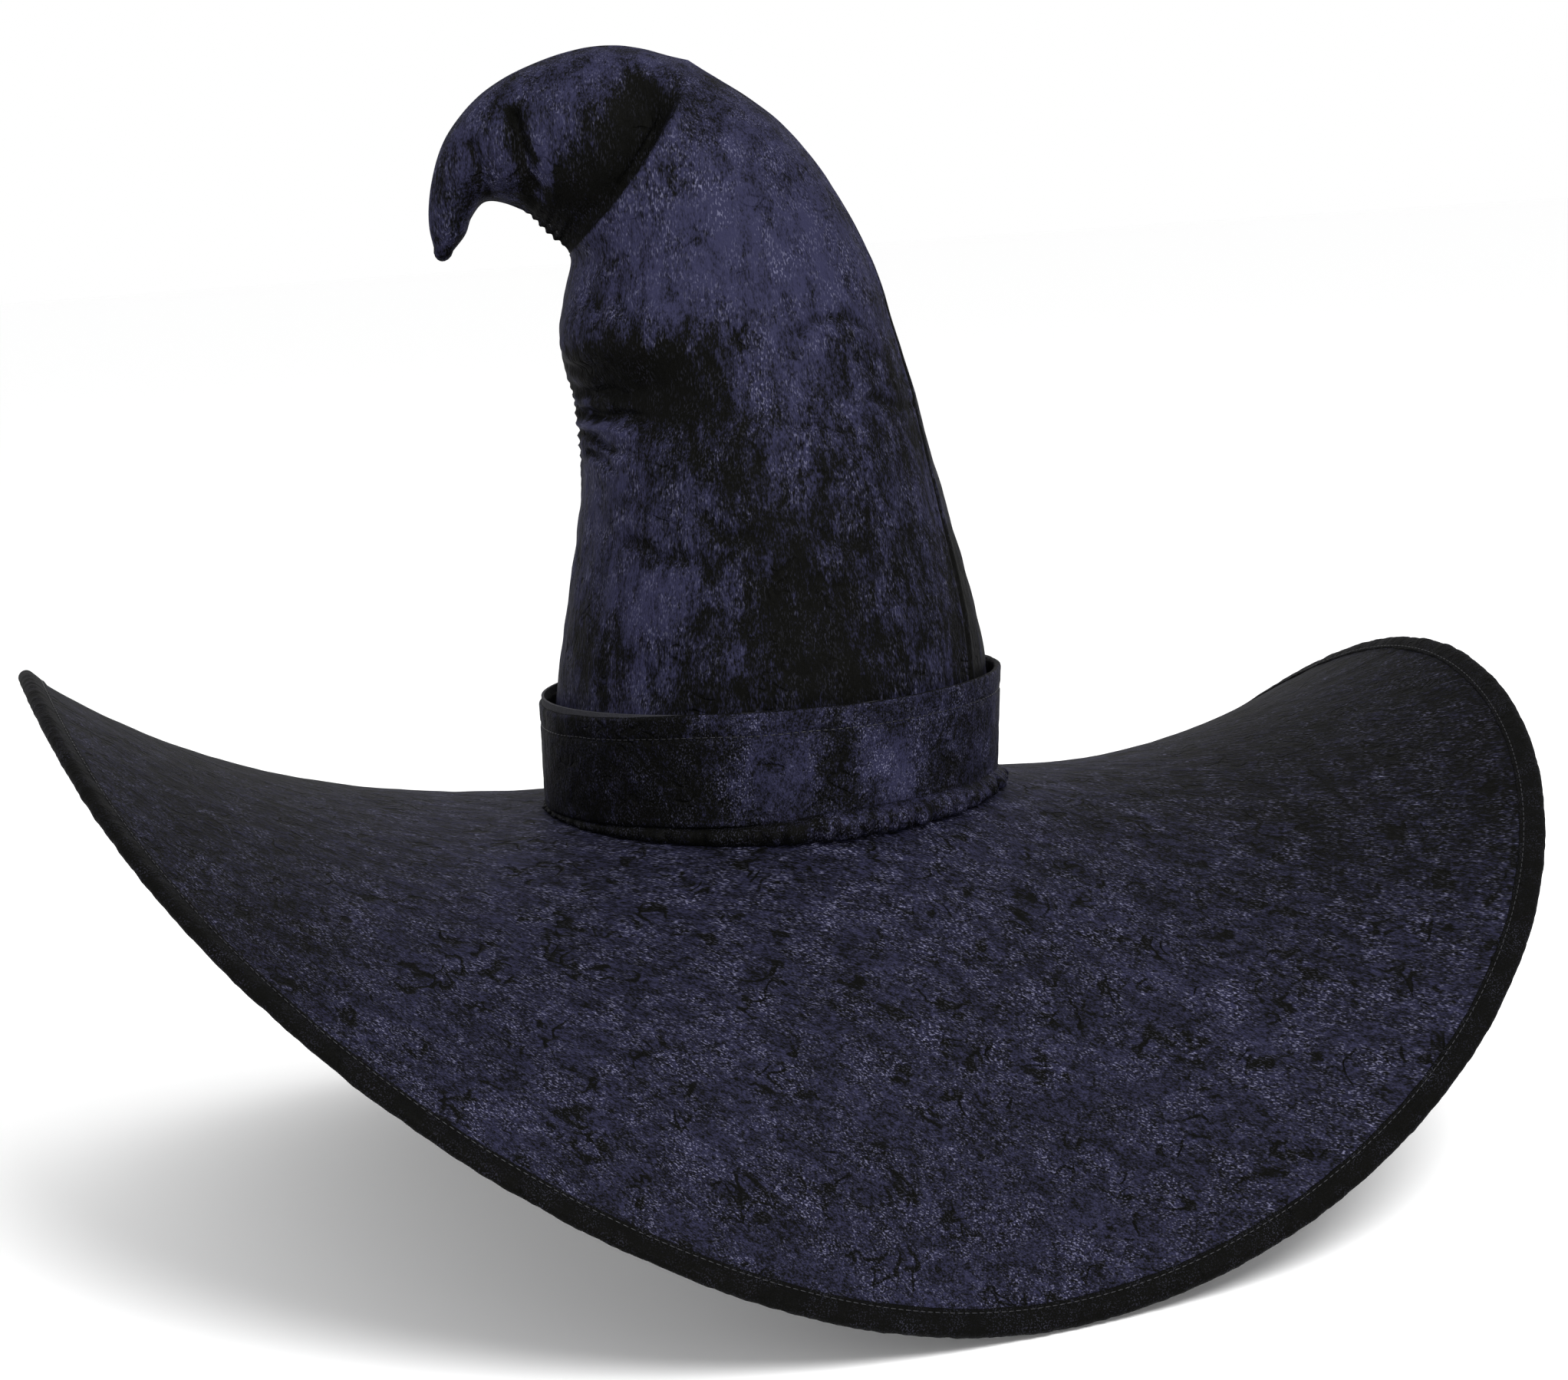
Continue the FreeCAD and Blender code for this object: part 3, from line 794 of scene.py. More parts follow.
# Wrinkles on the near side: from x, z to x, z, half width and depth, where a ridge is below 0.
WRINKLES = [
    (-76.0, 173.0, -44.0, 171.0, 2.4, 2.8), (-72.0, 164.0, -52.0, 156.0, 1.9, 2.4),
    (-68.0, 157.0, -57.0, 150.0, 1.6, 1.8), (-76.0, 183.0, -54.0, 181.0, 2.2, 1.6),
    (-76.0, 193.0, -58.0, 193.0, 2.2, 1.2), (-74.0, 168.0, -48.0, 164.0, 2.0, -1.8),
    (-74.0, 178.0, -50.0, 177.0, 2.0, -1.2), (27.0, 205.0, 40.0, 209.0, 1.8, 1.1),
    (40.0, 209.0, 57.0, 203.0, 1.8, 1.1), (50.0, 191.0, 62.0, 177.0, 1.6, 1.1),
    (20.0, 166.0, 44.0, 161.0, 1.7, 0.8), (54.0, 173.0, 76.0, 166.0, 2.0, 1.3),
    (-91.0, 304.0, -86.0, 264.0, 2.8, 3.6), (-79.0, 292.0, -78.0, 266.0, 2.4, -1.2),
    (-110.0, 292.0, -104.0, 270.0, 1.9, 2.4), (-62.0, 226.0, -56.0, 208.0, 3.0, 1.2),
    (-50.0, 222.0, -44.0, 206.0, 2.6, 0.9), (-20.0, 128.0, 2.0, 116.0, 3.5, 1.2),
    (-52.0, 118.0, -24.0, 110.0, 3.0, 1.2), (30.0, 118.0, 52.0, 111.0, 2.4, 1.0),
]
FULL_SHADE_DEPTH = 2.6      # a wrinkle this deep in mm is fully dark


def station_slopes(rows, along):
    """Rate of change of each station value along the crown's centre line."""
    slopes = np.zeros_like(rows)
    for i in range(len(rows)):
        if i in (0, len(rows) - 1):
            low = min(i, len(rows) - 2)
            slopes[i] = (rows[low + 1] - rows[low]) / (along[low + 1] - along[low])
        else:
            before, after = along[i] - along[i - 1], along[i + 1] - along[i]
            rise = (rows[i] - rows[i - 1]) / before * after + (rows[i + 1] - rows[i]) / after * before
            slopes[i] = rise / (before + after)
    return slopes


def smooth_stations(stations, spacing):
    """More stations on a smooth curve, about `spacing` mm apart on their longer side."""
    rows = np.array(stations)
    centres = (rows[:, 0:2] + rows[:, 2:4]) / 2.0
    steps = np.linalg.norm(np.diff(centres, axis=0), axis=1)
    along = np.concatenate([[0.0], np.cumsum(steps)])
    slopes = station_slopes(rows, along)
    result = []
    for i in range(len(rows) - 1):
        sides = [np.linalg.norm(rows[i + 1, k:k + 2] - rows[i, k:k + 2]) for k in (0, 2)]
        count = max(1, math.ceil(max(sides) / spacing[i]))
        for t in np.arange(count) / count:
            h = steps[i]
            near, far = (1 + 2 * t) * (1 - t) ** 2, t * t * (3 - 2 * t)
            leave, arrive = t * (1 - t) ** 2 * h, -t * t * (1 - t) * h
            result.append(near * rows[i] + far * rows[i + 1] + leave * slopes[i] + arrive * slopes[i + 1])
    return np.array(result + [rows[-1]])


def crown_angles(columns):
    """Angles around the crown from the back seam, closer together at the two seams."""
    u = np.arange(columns) / columns
    return 2.0 * math.pi * u - 0.16 * np.sin(4.0 * math.pi * u)


def crown_surface(rows, angles):
    """Points of the smooth crown, one row at each station, and the angle of each."""
    front, back, depth = rows[:, 0:2], rows[:, 2:4], rows[:, 4]
    centre, half = (front + back) / 2.0, (back - front) / 2.0
    seam = -np.radians(BACK_SEAM_ANGLE) * np.clip(1.0 - back[:, 1] / BACK_SEAM_STRAIGHT, 0.0, 1.0)
    turn = angles[None, :] + seam[:, None] * (0.5 + 0.5 * np.cos(angles[None, :]))
    flat = centre[:, None, :] + half[:, None, :] * np.cos(turn)[:, :, None]
    y = depth[:, None] * np.sin(turn)
    return np.stack([flat[:, :, 0], y, flat[:, :, 1]], axis=2), turn


def grid_normals(points):
    """Outward normals of a grid that closes around its columns."""
    around = np.roll(points, -1, axis=1) - np.roll(points, 1, axis=1)
    up = np.gradient(points, axis=0)
    normal = np.cross(around, up)
    return normal / np.maximum(np.linalg.norm(normal, axis=2, keepdims=True), 1e-9)


def wrinkled(points):
    """Depth of the wrinkles at each point, in mm, and their shade, about 1 in the deepest."""
    x, z = points[:, :, 0], points[:, :, 2]
    depth = np.zeros_like(x)
    shade = np.zeros_like(x)
    for x0, z0, x1, z1, width, deep in WRINKLES:
        run, rise = x1 - x0, z1 - z0
        share = ((x - x0) * run + (z - z0) * rise) / (run * run + rise * rise)
        held = np.clip(share, 0.0, 1.0)
        wander = 0.5 * width * np.sin(7.0 * held + x0)
        away = np.hypot(x - x0 - held * run, z - z0 - held * rise + wander)
        taper = 1.0 - 0.6 * held
        depth += deep * taper * np.exp(-(away / width) ** 2)
        shade += deep / FULL_SHADE_DEPTH * taper * np.exp(-(away / width) ** 2)
    return depth, shade


def lip_distance(points):
    """Distance past the lip of the fold behind the tip, and how far the lip reaches up."""
    from_middle = points - FOLD_MIDDLE
    past = from_middle @ FOLD_NORMAL
    up = from_middle @ FOLD_UP
    lip = -9.6 + 4.5 * (up / 45.0) ** 2
    return past - lip, up


def crown_relief(points, turn):
    """How far the cloth stands out from the smooth crown, in mm: folds, gathers and seams."""
    x, y, z = points[:, :, 0], points[:, :, 1], points[:, :, 2]
    degrees = np.degrees(turn) % 360.0
    middle = points.shape[1] // 2
    radius = np.ptp(y, axis=1)[:, None] / 2.0
    from_front = np.radians(np.abs(degrees - 180.0)) * radius
    from_back = np.abs(np.radians((degrees - degrees[:, :1] + 180.0) % 360.0 - 180.0)) * radius
    ROWS["from_back"] = from_back
    front_line = points[:, middle]
    run = np.concatenate([[0.0], np.cumsum(np.linalg.norm(np.diff(front_line, axis=0), axis=1))])[:, None]
    front_z = front_line[:, 2][:, None]
    past_fold = (points - FOLD_MIDDLE) @ FOLD_NORMAL
    on_tip = (np.arange(len(points))[:, None] >= ROWS["fold"]).astype(float)
    side = np.where(degrees > 180.0, 1.0, -1.0)
    near = smooth_step(degrees, 180.0, 200.0) * (1.0 - smooth_step(degrees, 340.0, 360.0))
    far = smooth_step(360.0 - degrees, 180.0, 200.0) * (1.0 - smooth_step(360.0 - degrees, 340.0, 360.0))

    # small gathers where the elastic is sewn to the front seam
    waist = bump_at(front_z, 166.0, 17.0) * (1.0 - on_tip)
    under_tip = on_tip * smooth_step(past_fold[:, middle][:, None], -2.0, 4.0)
    under_tip = under_tip * (1.0 - smooth_step(run - run[ROWS["fold"]], 14.0, 28.0))
    pitch = sizes().gather_pitch / MM
    wander = noise_at(np.stack([run * np.ones_like(x), from_front * side, 0 * x], 2), 14.0, 4)
    ripple = np.cos(2.0 * math.pi * run / pitch + 2.6 * wander) * (1.0 + 0.7 * wander)
    relief = (0.95 * waist + 0.7 * under_tip) * ripple * np.exp(-from_front / 8.0)

    # longer folds that run out of the gathers and die away in the cloth
    rays = np.stack([run / 7.0 + side * 3.0, from_front / 34.0 + side, 0.02 * z], 2)
    folds = noise_at(rays, 1.0, 5)
    reach = np.exp(-from_front / 30.0) * smooth_step(from_front, 0.0, 12.0)
    relief += 3.2 * (bump_at(front_z, 170.0, 28.0) * (1.0 - on_tip) + 0.6 * under_tip) * folds * reach
    relief -= 1.7 * wrinkled(points)[0] * near

    # the waist sinks in under the leaning upper crown
    overhang = bump_at(z, 174.0 + 0.10 * from_front, 14.0)
    relief -= 6.0 * overhang * near * bump_at(degrees, 222.0, 34.0)
    relief -= 4.5 * overhang * far * bump_at(degrees, 142.0, 30.0)
    relief += 3.5 * bump_at(z, 206.0, 13.0) * near * bump_at(degrees, 218.0, 34.0)
    relief += 3.0 * bump_at(z, 204.0, 15.0) * far * bump_at(degrees, 145.0, 30.0)

    # the deep fold behind the tip, hollow on both sides, with a lip on the crown's side
    past_lip, up = lip_distance(points)
    flank = np.abs(np.sin(turn)) ** 0.7 * (1.0 - smooth_step(up, 24.0, 42.0)) * smooth_step(z, 225.0, 243.0)
    flank = flank * (1.0 - bump_at(from_back, 0.0, 18.0))
    hollow = np.exp(-np.maximum(past_lip, 0.0) / 24.0) * (1.0 - np.exp(-np.maximum(past_lip, 0.0) / 2.4))
    relief -= 23.0 * hollow * flank
    relief += 2.2 * np.exp(np.minimum(past_lip, 0.0) / 9.0) * (past_lip <= 0.0) * flank
    relief += 2.2 * np.exp(-np.maximum(past_lip, 0.0) / 1.5) * (past_lip > 0.0) * flank

    # the back seam, drawn in between two soft ridges
    relief += 0.5 * bump_at(from_back, 3.2, 1.8) - 0.9 * bump_at(from_back, 0.0, 1.3)

    # slack in the cloth at two sizes
    calm = 1.0 - 0.75 * bump_at(from_back, 0.0, 26.0)
    relief += calm * (1.5 * noise_at(points, 38.0, 6) + 0.65 * noise_at(points, 13.0, 7, 2))
    shrink = smooth_step(radius, 4.0, 30.0)
    return relief * (0.15 + 0.85 * shrink)


ROWS = {}                   # what is worked out once: the grid, and the rows of its joins


def crown_grid():
    """The crown's outer surface, its normals and its crushed pile with painted shade and light, worked out
    once.
    """
    if "points" in ROWS:
        return ROWS["points"], ROWS["normals"], ROWS["nap"]
    lower = smooth_stations(LOWER_CROWN, [3.0, 2.8, 2.6, 1.4, GATHERED_SPACING])
    upper = smooth_stations(UPPER_CROWN, [GATHERED_SPACING, 2.0, 2.3, 2.3, 2.3])
    tip = smooth_stations(CROWN_TIP, [2.2, 2.2, 2.2, 2.0, 1.8, 1.6, 1.4])
    first_span = len(smooth_stations(UPPER_CROWN[:2], [GATHERED_SPACING])) - 1
    ROWS["split"] = len(lower) - 1 + first_span
    ROWS["fold"] = len(lower) + len(upper) - 2
    rows = np.concatenate([lower[:-1], upper[:-1], tip])
    points, turn = crown_surface(rows, crown_angles(sizes().crown_columns))
    normals = grid_normals(points)
    points = points + normals * crown_relief(points, turn)[:, :, None]
    ROWS["points"] = points
    ROWS["normals"] = grid_normals(points)
    ROWS["nap"] = crown_nap_and_shade(points)
    return ROWS["points"], ROWS["normals"], ROWS["nap"]


def crown_nap_and_shade(points):
    """Crushed pile with painted shade and light: patches and wrinkle shade on the near side, pile left to
    chance on the far side, and painted shade in the hollow behind the fold and beside the back seam.
    """
    x, y, z = points[:, :, 0], points[:, :, 1], points[:, :, 2]
    near = smooth_step(-y, -14.0, 12.0)
    feather = noise_at(points * np.array([1.0, 1.0, 0.35]), 5.0, 8, 2) * 5.0
    # painted shade in the wrinkles' valleys and painted light on their ridges
    placed_pile_and_shade = -2.4 * np.maximum(wrinkled(points)[1], -0.5)
    # crushed pile with painted shade and painted light from the patches
    for px, pz, wide, tall, strength in NAP_AND_SHADE_PATCHES:
        away = np.sqrt(((x - px + feather) / wide) ** 2 + ((z - pz + 1.6 * feather) / tall) ** 2)
        placed_pile_and_shade += strength * (1.0 - smooth_step(away, 0.55, 1.35))
    chance = 1.5 * noise_at(points, 46.0, 9)
    past_lip, up = lip_distance(points)
    # painted shade in the hollow behind the fold's lip, from the lip to about 40 mm past it
    soft = past_lip + feather
    hollow = smooth_step(past_lip, -0.6, 1.6) * (1.0 - smooth_step(soft, 14.0, 40.0))
    hollow = hollow * (1.0 - smooth_step(up + 0.5 * feather, 27.0, 37.0)) * smooth_step(z, 236.0, 246.0)
    # the back seam line darker, with painted light on the ridges beside it
    seam = 0.7 * bump_at(ROWS["from_back"], 3.0, 1.6) - 1.4 * bump_at(ROWS["from_back"], 0.0, 1.5)
    painted_shade_side = np.arange(points.shape[1])[None, :] < points.shape[1] // 2
    # painted shade about 24 mm wide on the far side of the back seam, along the crown's right edge
    seam -= 0.9 * bump_at(ROWS["from_back"], 0.0, 24.0) * painted_shade_side
    return placed_pile_and_shade * near + chance * (1.0 - near) - 2.4 * hollow + seam


def rounded_end(points, normals, nap, depth=5.4):
    """Adds rings that round off the last row, up to just before the pole."""
    centre = points[-1].mean(axis=0)
    tangent = centre - points[-4].mean(axis=0)
    tangent = tangent / np.linalg.norm(tangent)
    rings, facing = [], []
    for degrees in (25.0, 48.0, 68.0, 82.0):
        t = math.radians(degrees)
        rings.append(centre + (points[-1] - centre) * math.cos(t) + tangent * depth * math.sin(t))
        facing.append(normals[-1] * math.cos(t) + tangent * math.sin(t))
    count = len(rings)
    return (np.concatenate([points, rings]), np.concatenate([normals, facing]),
            np.concatenate([nap, np.repeat(nap[-1:], count, axis=0)]))


def crown_shell(name, first, last, inset, thickness, material, cap=False, step=1):
    """A closed cloth shell between two rows of the crown's surface.

    An inset shell keeps further back from the cover under its wrinkles and at the fold's lip.
    """
    points, normals, nap = crown_grid()
    pick = list(range(first, last, step)) + [last]
    points, normals, nap = (part[pick][:, ::step] for part in (points, normals, nap))
    if cap:
        points, normals, nap = rounded_end(points, normals, nap)
    if inset > 0.0:
        by_lip = bump_at(lip_distance(points)[0], 0.0, 6.0) * smooth_step(points[:, :, 2], 225.0, 243.0)
        slack = 0.6 + 3.0 * np.maximum(wrinkled(points)[0], 0.0) + 3.0 * by_lip
        inset = inset + slack[:, :, None]
    outer = points - normals * inset
    inner = points - normals * (inset + thickness)
    rows, columns = outer.shape[:2]
    count = rows * columns
    faces = grid_faces(rows, columns)
    faces += grid_faces(rows, columns, flip=True, first=count)
    ends = [(0, True)] if cap else [(0, True), ((rows - 1) * columns, False)]
    for start, bottom in ends:
        for j in range(columns):
            a, b = start + j, start + (j + 1) % columns
            quad = (a, count + a, count + b, b)
            faces.append(quad if bottom else quad[::-1])
    extra, extra_normals, extra_nap_and_shade = [], [], []
    if cap:
        tangent = points[-1].mean(axis=0) - points[-4].mean(axis=0)
        tangent = tangent / np.linalg.norm(tangent)
        last_ring = (rows - 1) * columns
        for layer, base, bulge in ((0, outer, 0.05), (1, inner, 0.05)):
            top = len(extra) + 2 * count
            extra.append(base[-1].mean(axis=0) + tangent * bulge)
            extra_normals.append(tangent if layer == 0 else -tangent)
            extra_nap_and_shade.append(float(nap[-1].mean()))
            for j in range(columns):
                a = layer * count + last_ring + j
                b = layer * count + last_ring + (j + 1) % columns
                faces.append((a, b, top) if layer == 0 else (b, a, top))
    every = np.concatenate([outer.reshape(-1, 3), inner.reshape(-1, 3)] + ([extra] if cap else []))
    facing = np.concatenate([normals.reshape(-1, 3), -normals.reshape(-1, 3)]
                            + ([extra_normals] if cap else []))
    shade = np.concatenate([nap.ravel(), nap.ravel(), extra_nap_and_shade])
    obj = mesh_object(name, every, faces, material, facing)
    keep_cloth_place(obj, shade)
    return obj


def blend_waist(obj):
    """Bakes the object's placement into its points."""
    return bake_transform(obj)


def blend_fold(obj):
    """Bakes the object's placement into its points."""
    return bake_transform(obj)


class HAT_OT_crown(bpy.types.Operator):
    """Make the gathered velvet cover of the crown and its curled tip"""
    bl_idname = "hat.crown"
    bl_label = "Crown cover"

    def execute(self, context):
        crown_grid()
        split, end = ROWS["split"], len(ROWS["points"]) - 1
        thick = sizes().velvet / MM
        lower = crown_shell("crown_cover_lower", 0, split, 0.0, thick, material_of("crown"))
        upper = crown_shell("crown_cover_upper", split, end, 0.0, thick, material_of("crown"), cap=True)
        blend_waist(lower)
        blend_fold(upper)
        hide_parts("lower_crown_velvet_near", "lower_crown_velvet_far")
        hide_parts("upper_crown_velvet_near", "upper_crown_velvet_far",
                    "tip_velvet_near", "tip_velvet_far")
        return {"FINISHED"}


STUFFED_ROWS = 30           # rows of the point that hold stuffing in place of foam


class HAT_OT_lining(bpy.types.Operator):
    """Make the foam backing inside the crown and the stuffing in its point"""
    bl_idname = "hat.lining"
    bl_label = "Crown backing and stuffing"

    def execute(self, context):
        crown_grid()
        split, end = ROWS["split"], len(ROWS["points"]) - 1
        stop = end - STUFFED_ROWS
        gap = sizes().velvet / MM + 0.15
        thick, foam = 1.7, material_of("foam")
        lower = crown_shell("crown_backing_lower", 0, split, gap, thick, foam, step=2)
        upper = crown_shell("crown_backing_upper", split, stop, gap, thick, foam, cap=True, step=2)
        blend_waist(lower)
        blend_fold(upper)
        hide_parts("lower_crown_foam_near", "lower_crown_foam_far")
        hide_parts("upper_crown_foam_near", "upper_crown_foam_far",
                    "tip_foam_near", "tip_foam_far")
        wad = crown_shell("tip_stuffing", stop + 2, end - 6, 2.0, 1.2, foam, cap=True, step=2)
        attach(wad, "crown_tip")
        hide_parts("tip_wadding")
        return {"FINISHED"}


class HAT_OT_elastic(bpy.types.Operator):
    """Make the flat elastics sewn inside the front seam"""
    bl_idname = "hat.elastic"
    bl_label = "Seam elastics"

    def execute(self, context):
        points, normals, _ = crown_grid()
        middle = points.shape[1] // 2
        split, fold = ROWS["split"], ROWS["fold"]
        runs = (("front_seam_elastic_lower", split - 84, split, blend_waist, ["lower_crown_elastic"]),
                ("front_seam_elastic_upper", split, fold + 26, blend_fold,
                 ["upper_crown_elastic", "tip_elastic"]))
        for name, first, last, bend, nodes in runs:
            line = points[first:last + 1, middle]
            inward = -normals[first:last + 1, middle]
            across = np.array([0.0, 3.0, 0.0])
            near_face, far_face = line + inward * 3.3, line + inward * 4.4
            corners = np.stack([near_face + across, near_face - across,
                                far_face - across, far_face + across], axis=1)
            rows = len(corners)
            faces = grid_faces(rows, 4)
            faces += [(3, 2, 1, 0), tuple((rows - 1) * 4 + k for k in range(4))]
            strip = mesh_object(name, corners, faces, material_of("elastic"))
            keep_cloth_place(strip)
            bend(strip)
            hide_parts(*nodes)
        return {"FINISHED"}


# ---- the band, the roll and the sweatband ---------------------------------------------------
# Patches on the band's near side, given as for the crown: partly crushed pile and partly painted, with a
# painted highlight right of centre and painted shade over the left.
BAND_LIGHT_AND_SHADE_PATCHES = [
    (54.0, 18.0, 10.0, 14.0, 1.1), (44.0, 28.0, 8.0, 10.0, 0.6), (4.0, 20.0, 22.0, 18.0, 0.4),
    (-62.0, 28.0, 46.0, 42.0, -1.0), (30.0, 24.0, 8.0, 26.0, -0.9), (74.0, 10.0, 10.0, 14.0, -0.6),
]


def band_radius(turn, height):
    """Outer radius of the band and its centre's x, at an angle and a height in mm."""
    share = (height - 0.8) / 48.2
    ring = np.stack([np.cos(turn) * 100.0, np.sin(turn) * 100.0, height * np.ones_like(turn)], -1)
    wave = 0.9 * np.abs(noise_at(ring, 34.0, 11)) + 0.35 * np.abs(noise_at(ring, 9.0, 12))
    return 100.9 + 1.8 * share + wave, 0.5 + 2.5 * share


def band_loop(turn, height, extra=0.0):
    """A ring of points around the band, `extra` mm out from its face."""
    radius, centre = band_radius(turn, height)
    radius = radius + extra
    return np.stack([radius * np.cos(turn) + centre, radius * np.sin(turn),
                     height * np.ones_like(turn)], -1)


class HAT_OT_band(bpy.types.Operator):
    """Make the turned-up velvet band with its topstitched rim"""
    bl_idname = "hat.band"
    bl_label = "Turned-up band"

    def execute(self, context):
        columns = 480
        turn = np.arange(columns) * 2.0 * math.pi / columns
        rim, foot, wall = 49.0, 0.9, 3.2
        groove = rim - 9.6
        outside = [(h, -0.75 * math.exp(-((h - groove) / 0.9) ** 2))
                   for h in np.linspace(foot + 1.0, rim - 1.8, 34)]
        rounded = [(rim - 1.6 + 1.9 * math.sin(t), -1.6 + 1.6 * math.cos(t))
                   for t in [math.radians(18.0 * i) for i in range(1, 10)]]
        inside = [(h, -wall) for h in np.linspace(rim - 1.8, foot + 1.0, 20)]
        under = [(foot, -wall + 0.9), (foot - 0.3, -wall / 2.0), (foot, -0.8)]
        section = outside + rounded + inside + under
        points = np.array([band_loop(turn, height, extra) for height, extra in section])
        ring = np.stack([np.cos(turn), np.sin(turn), 0 * turn], -1) * 100.0
        lift = 0.7 * noise_at(ring, 45.0, 13) + 0.25 * noise_at(ring, 12.0, 14)
        lift -= 3.0 * smooth_step(-np.cos(turn), 0.2, 1.0)
        points[:, :, 2] += lift[None, :] * smooth_step(points[:, :, 2], 15.0, 49.0)
        faces = ring_faces(len(points), columns)
        band = mesh_object("turned_up_band", points, faces, material_of("band"))
        x, y, z = points[:, :, 0], points[:, :, 1], points[:, :, 2]
        near = smooth_step(-y, -14.0, 12.0)
        feather = noise_at(points, 4.0, 15, 2) * 4.0
        nap = np.zeros_like(x)
        # painted highlight and painted shade from the patches, with crushed pile
        for px, pz, wide, tall, strength in BAND_LIGHT_AND_SHADE_PATCHES:
            away = np.sqrt(((x - px + feather) / wide) ** 2 + ((z - pz + feather) / tall) ** 2)
            nap += strength * (1.0 - smooth_step(away, 0.5, 1.3))
        chance = 1.2 * noise_at(points, 30.0, 16)
        nap = nap * near + chance * (1.0 - near)
        # painted shade from the top of the rim over the band's inside and underside
        nap[len(outside) + 3:] = -1.5
        keep_cloth_place(band, nap)
        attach(band, "hat_base")
        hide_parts("band_outer_velvet", "band_inner_velvet")
        line = band_loop(turn, groove, -0.45)
        line[:, 2] += lift * smooth_step(line[:, 2], 15.0, 49.0)
        sew("band_topstitch", line, "hat_base")
        return {"FINISHED"}


class HAT_OT_roll(bpy.types.Operator):
    """Make the puckered roll that fills the corner between crown and brim"""
    bl_idname = "hat.roll"
    bl_label = "Base roll"

    def execute(self, context):
        columns = 900
        steps = 18

        def swell(points, turns):
            ring = np.stack([np.cos(turns), np.sin(turns), 0 * turns], 1) * 100.0
            pucker = noise_at(ring, 4.2, 21, 2)
            fold = np.abs(noise_at(ring, 7.5, 24))
            slow = noise_at(ring, 24.0, 22)
            right = smooth_step(np.cos(turns + math.radians(40.0)), 0.45, 0.95)
            height = 5.4 - 3.0 * np.cos(2.0 * turns) + 0.6 * slow + 5.0 * right
            out = 4.4 + 0.5 * slow + 3.4 * right
            for k in range(steps):
                t = math.radians(100.0 - 200.0 * k / (steps - 1))
                swollen = 1.0 + (0.24 * pucker - 0.42 * (1.0 - fold) ** 6 + 0.1) * math.cos(t * 0.9)
                points[:, k, 1] = 0.2 + out * math.cos(t) * swollen
                points[:, k, 2] = 1.6 + height * 0.5 * (1.0 + math.sin(t))

        flat = flat_cloth("base_roll", [(0.0, 0.0)] * steps, columns, True, swell)
        roll = wrap_on_brim(flat, "base_roll", material_of("band"), 0.25, 5.0)
        place = places_of(roll)
        toward = np.cos(np.arctan2(place[:, 1], place[:, 0]) + math.radians(40.0))
        pucker = noise_at(place / MM, 4.5, 23, 2)
        # painted shade over the roll in the corner between crown and brim, painted light toward the right
        # front on the side the key light faces, and crushed pile from the puckers
        keep_cloth_place(roll, -1.3 + 1.2 * smooth_step(toward, 0.6, 0.95) + 1.3 * pucker)
        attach(roll, "hat_base")
        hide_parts("crown_base_roll")
        return {"FINISHED"}


class HAT_OT_sweatband(bpy.types.Operator):
    """Make the ribbon sweatband with its two rows of stitches"""
    bl_idname = "hat.sweatband"
    bl_label = "Sweatband"

    def execute(self, context):
        columns = 720
        turn = np.arange(columns) * 2.0 * math.pi / columns
        profile = [(90.75, -8.2), (90.95, -8.8), (91.4, -9.0), (91.8, -8.8), (91.9, -8.2),
                   (91.9, 18.2), (91.8, 18.8), (91.4, 19.0), (90.95, 18.8), (90.75, 18.2)]
        loops = [np.stack([r * np.cos(turn), r * np.sin(turn), h + 0 * turn], -1) for r, h in profile]
        faces = ring_faces(len(loops), columns)
        ribbon = mesh_object("ribbon_sweatband", np.array(loops), faces, material_of("ribbon"))
        ribbon.data.set_sharp_from_angle(angle=math.radians(50.0))
        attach(ribbon, "hat_base")
        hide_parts("sweatband")
        for name, height in (("sweatband_stitches_low", -6.5), ("sweatband_stitches_high", 16.5)):
            line = [(90.7 * math.cos(a), 90.7 * math.sin(a), height) for a in turn]
            row = sew(name, line, "hat_base")
        return {"FINISHED"}


class HAT_OT_hidden(bpy.types.Operator):
    """Dress the pieces that the cloth hides: foam core, stiffener, wire and ferrule"""
    bl_idname = "hat.hidden"
    bl_label = "Hidden pieces"

    def execute(self, context):
        for node, key in (("brim_foam_core", "foam"), ("band_stiffener", "foam"),
                          ("brim_wire", "steel"), ("brim_wire_ferrule", "steel")):
            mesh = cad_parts[node].data
            mesh.materials.clear()
            mesh.materials.append(material_of(key))
        return {"FINISHED"}


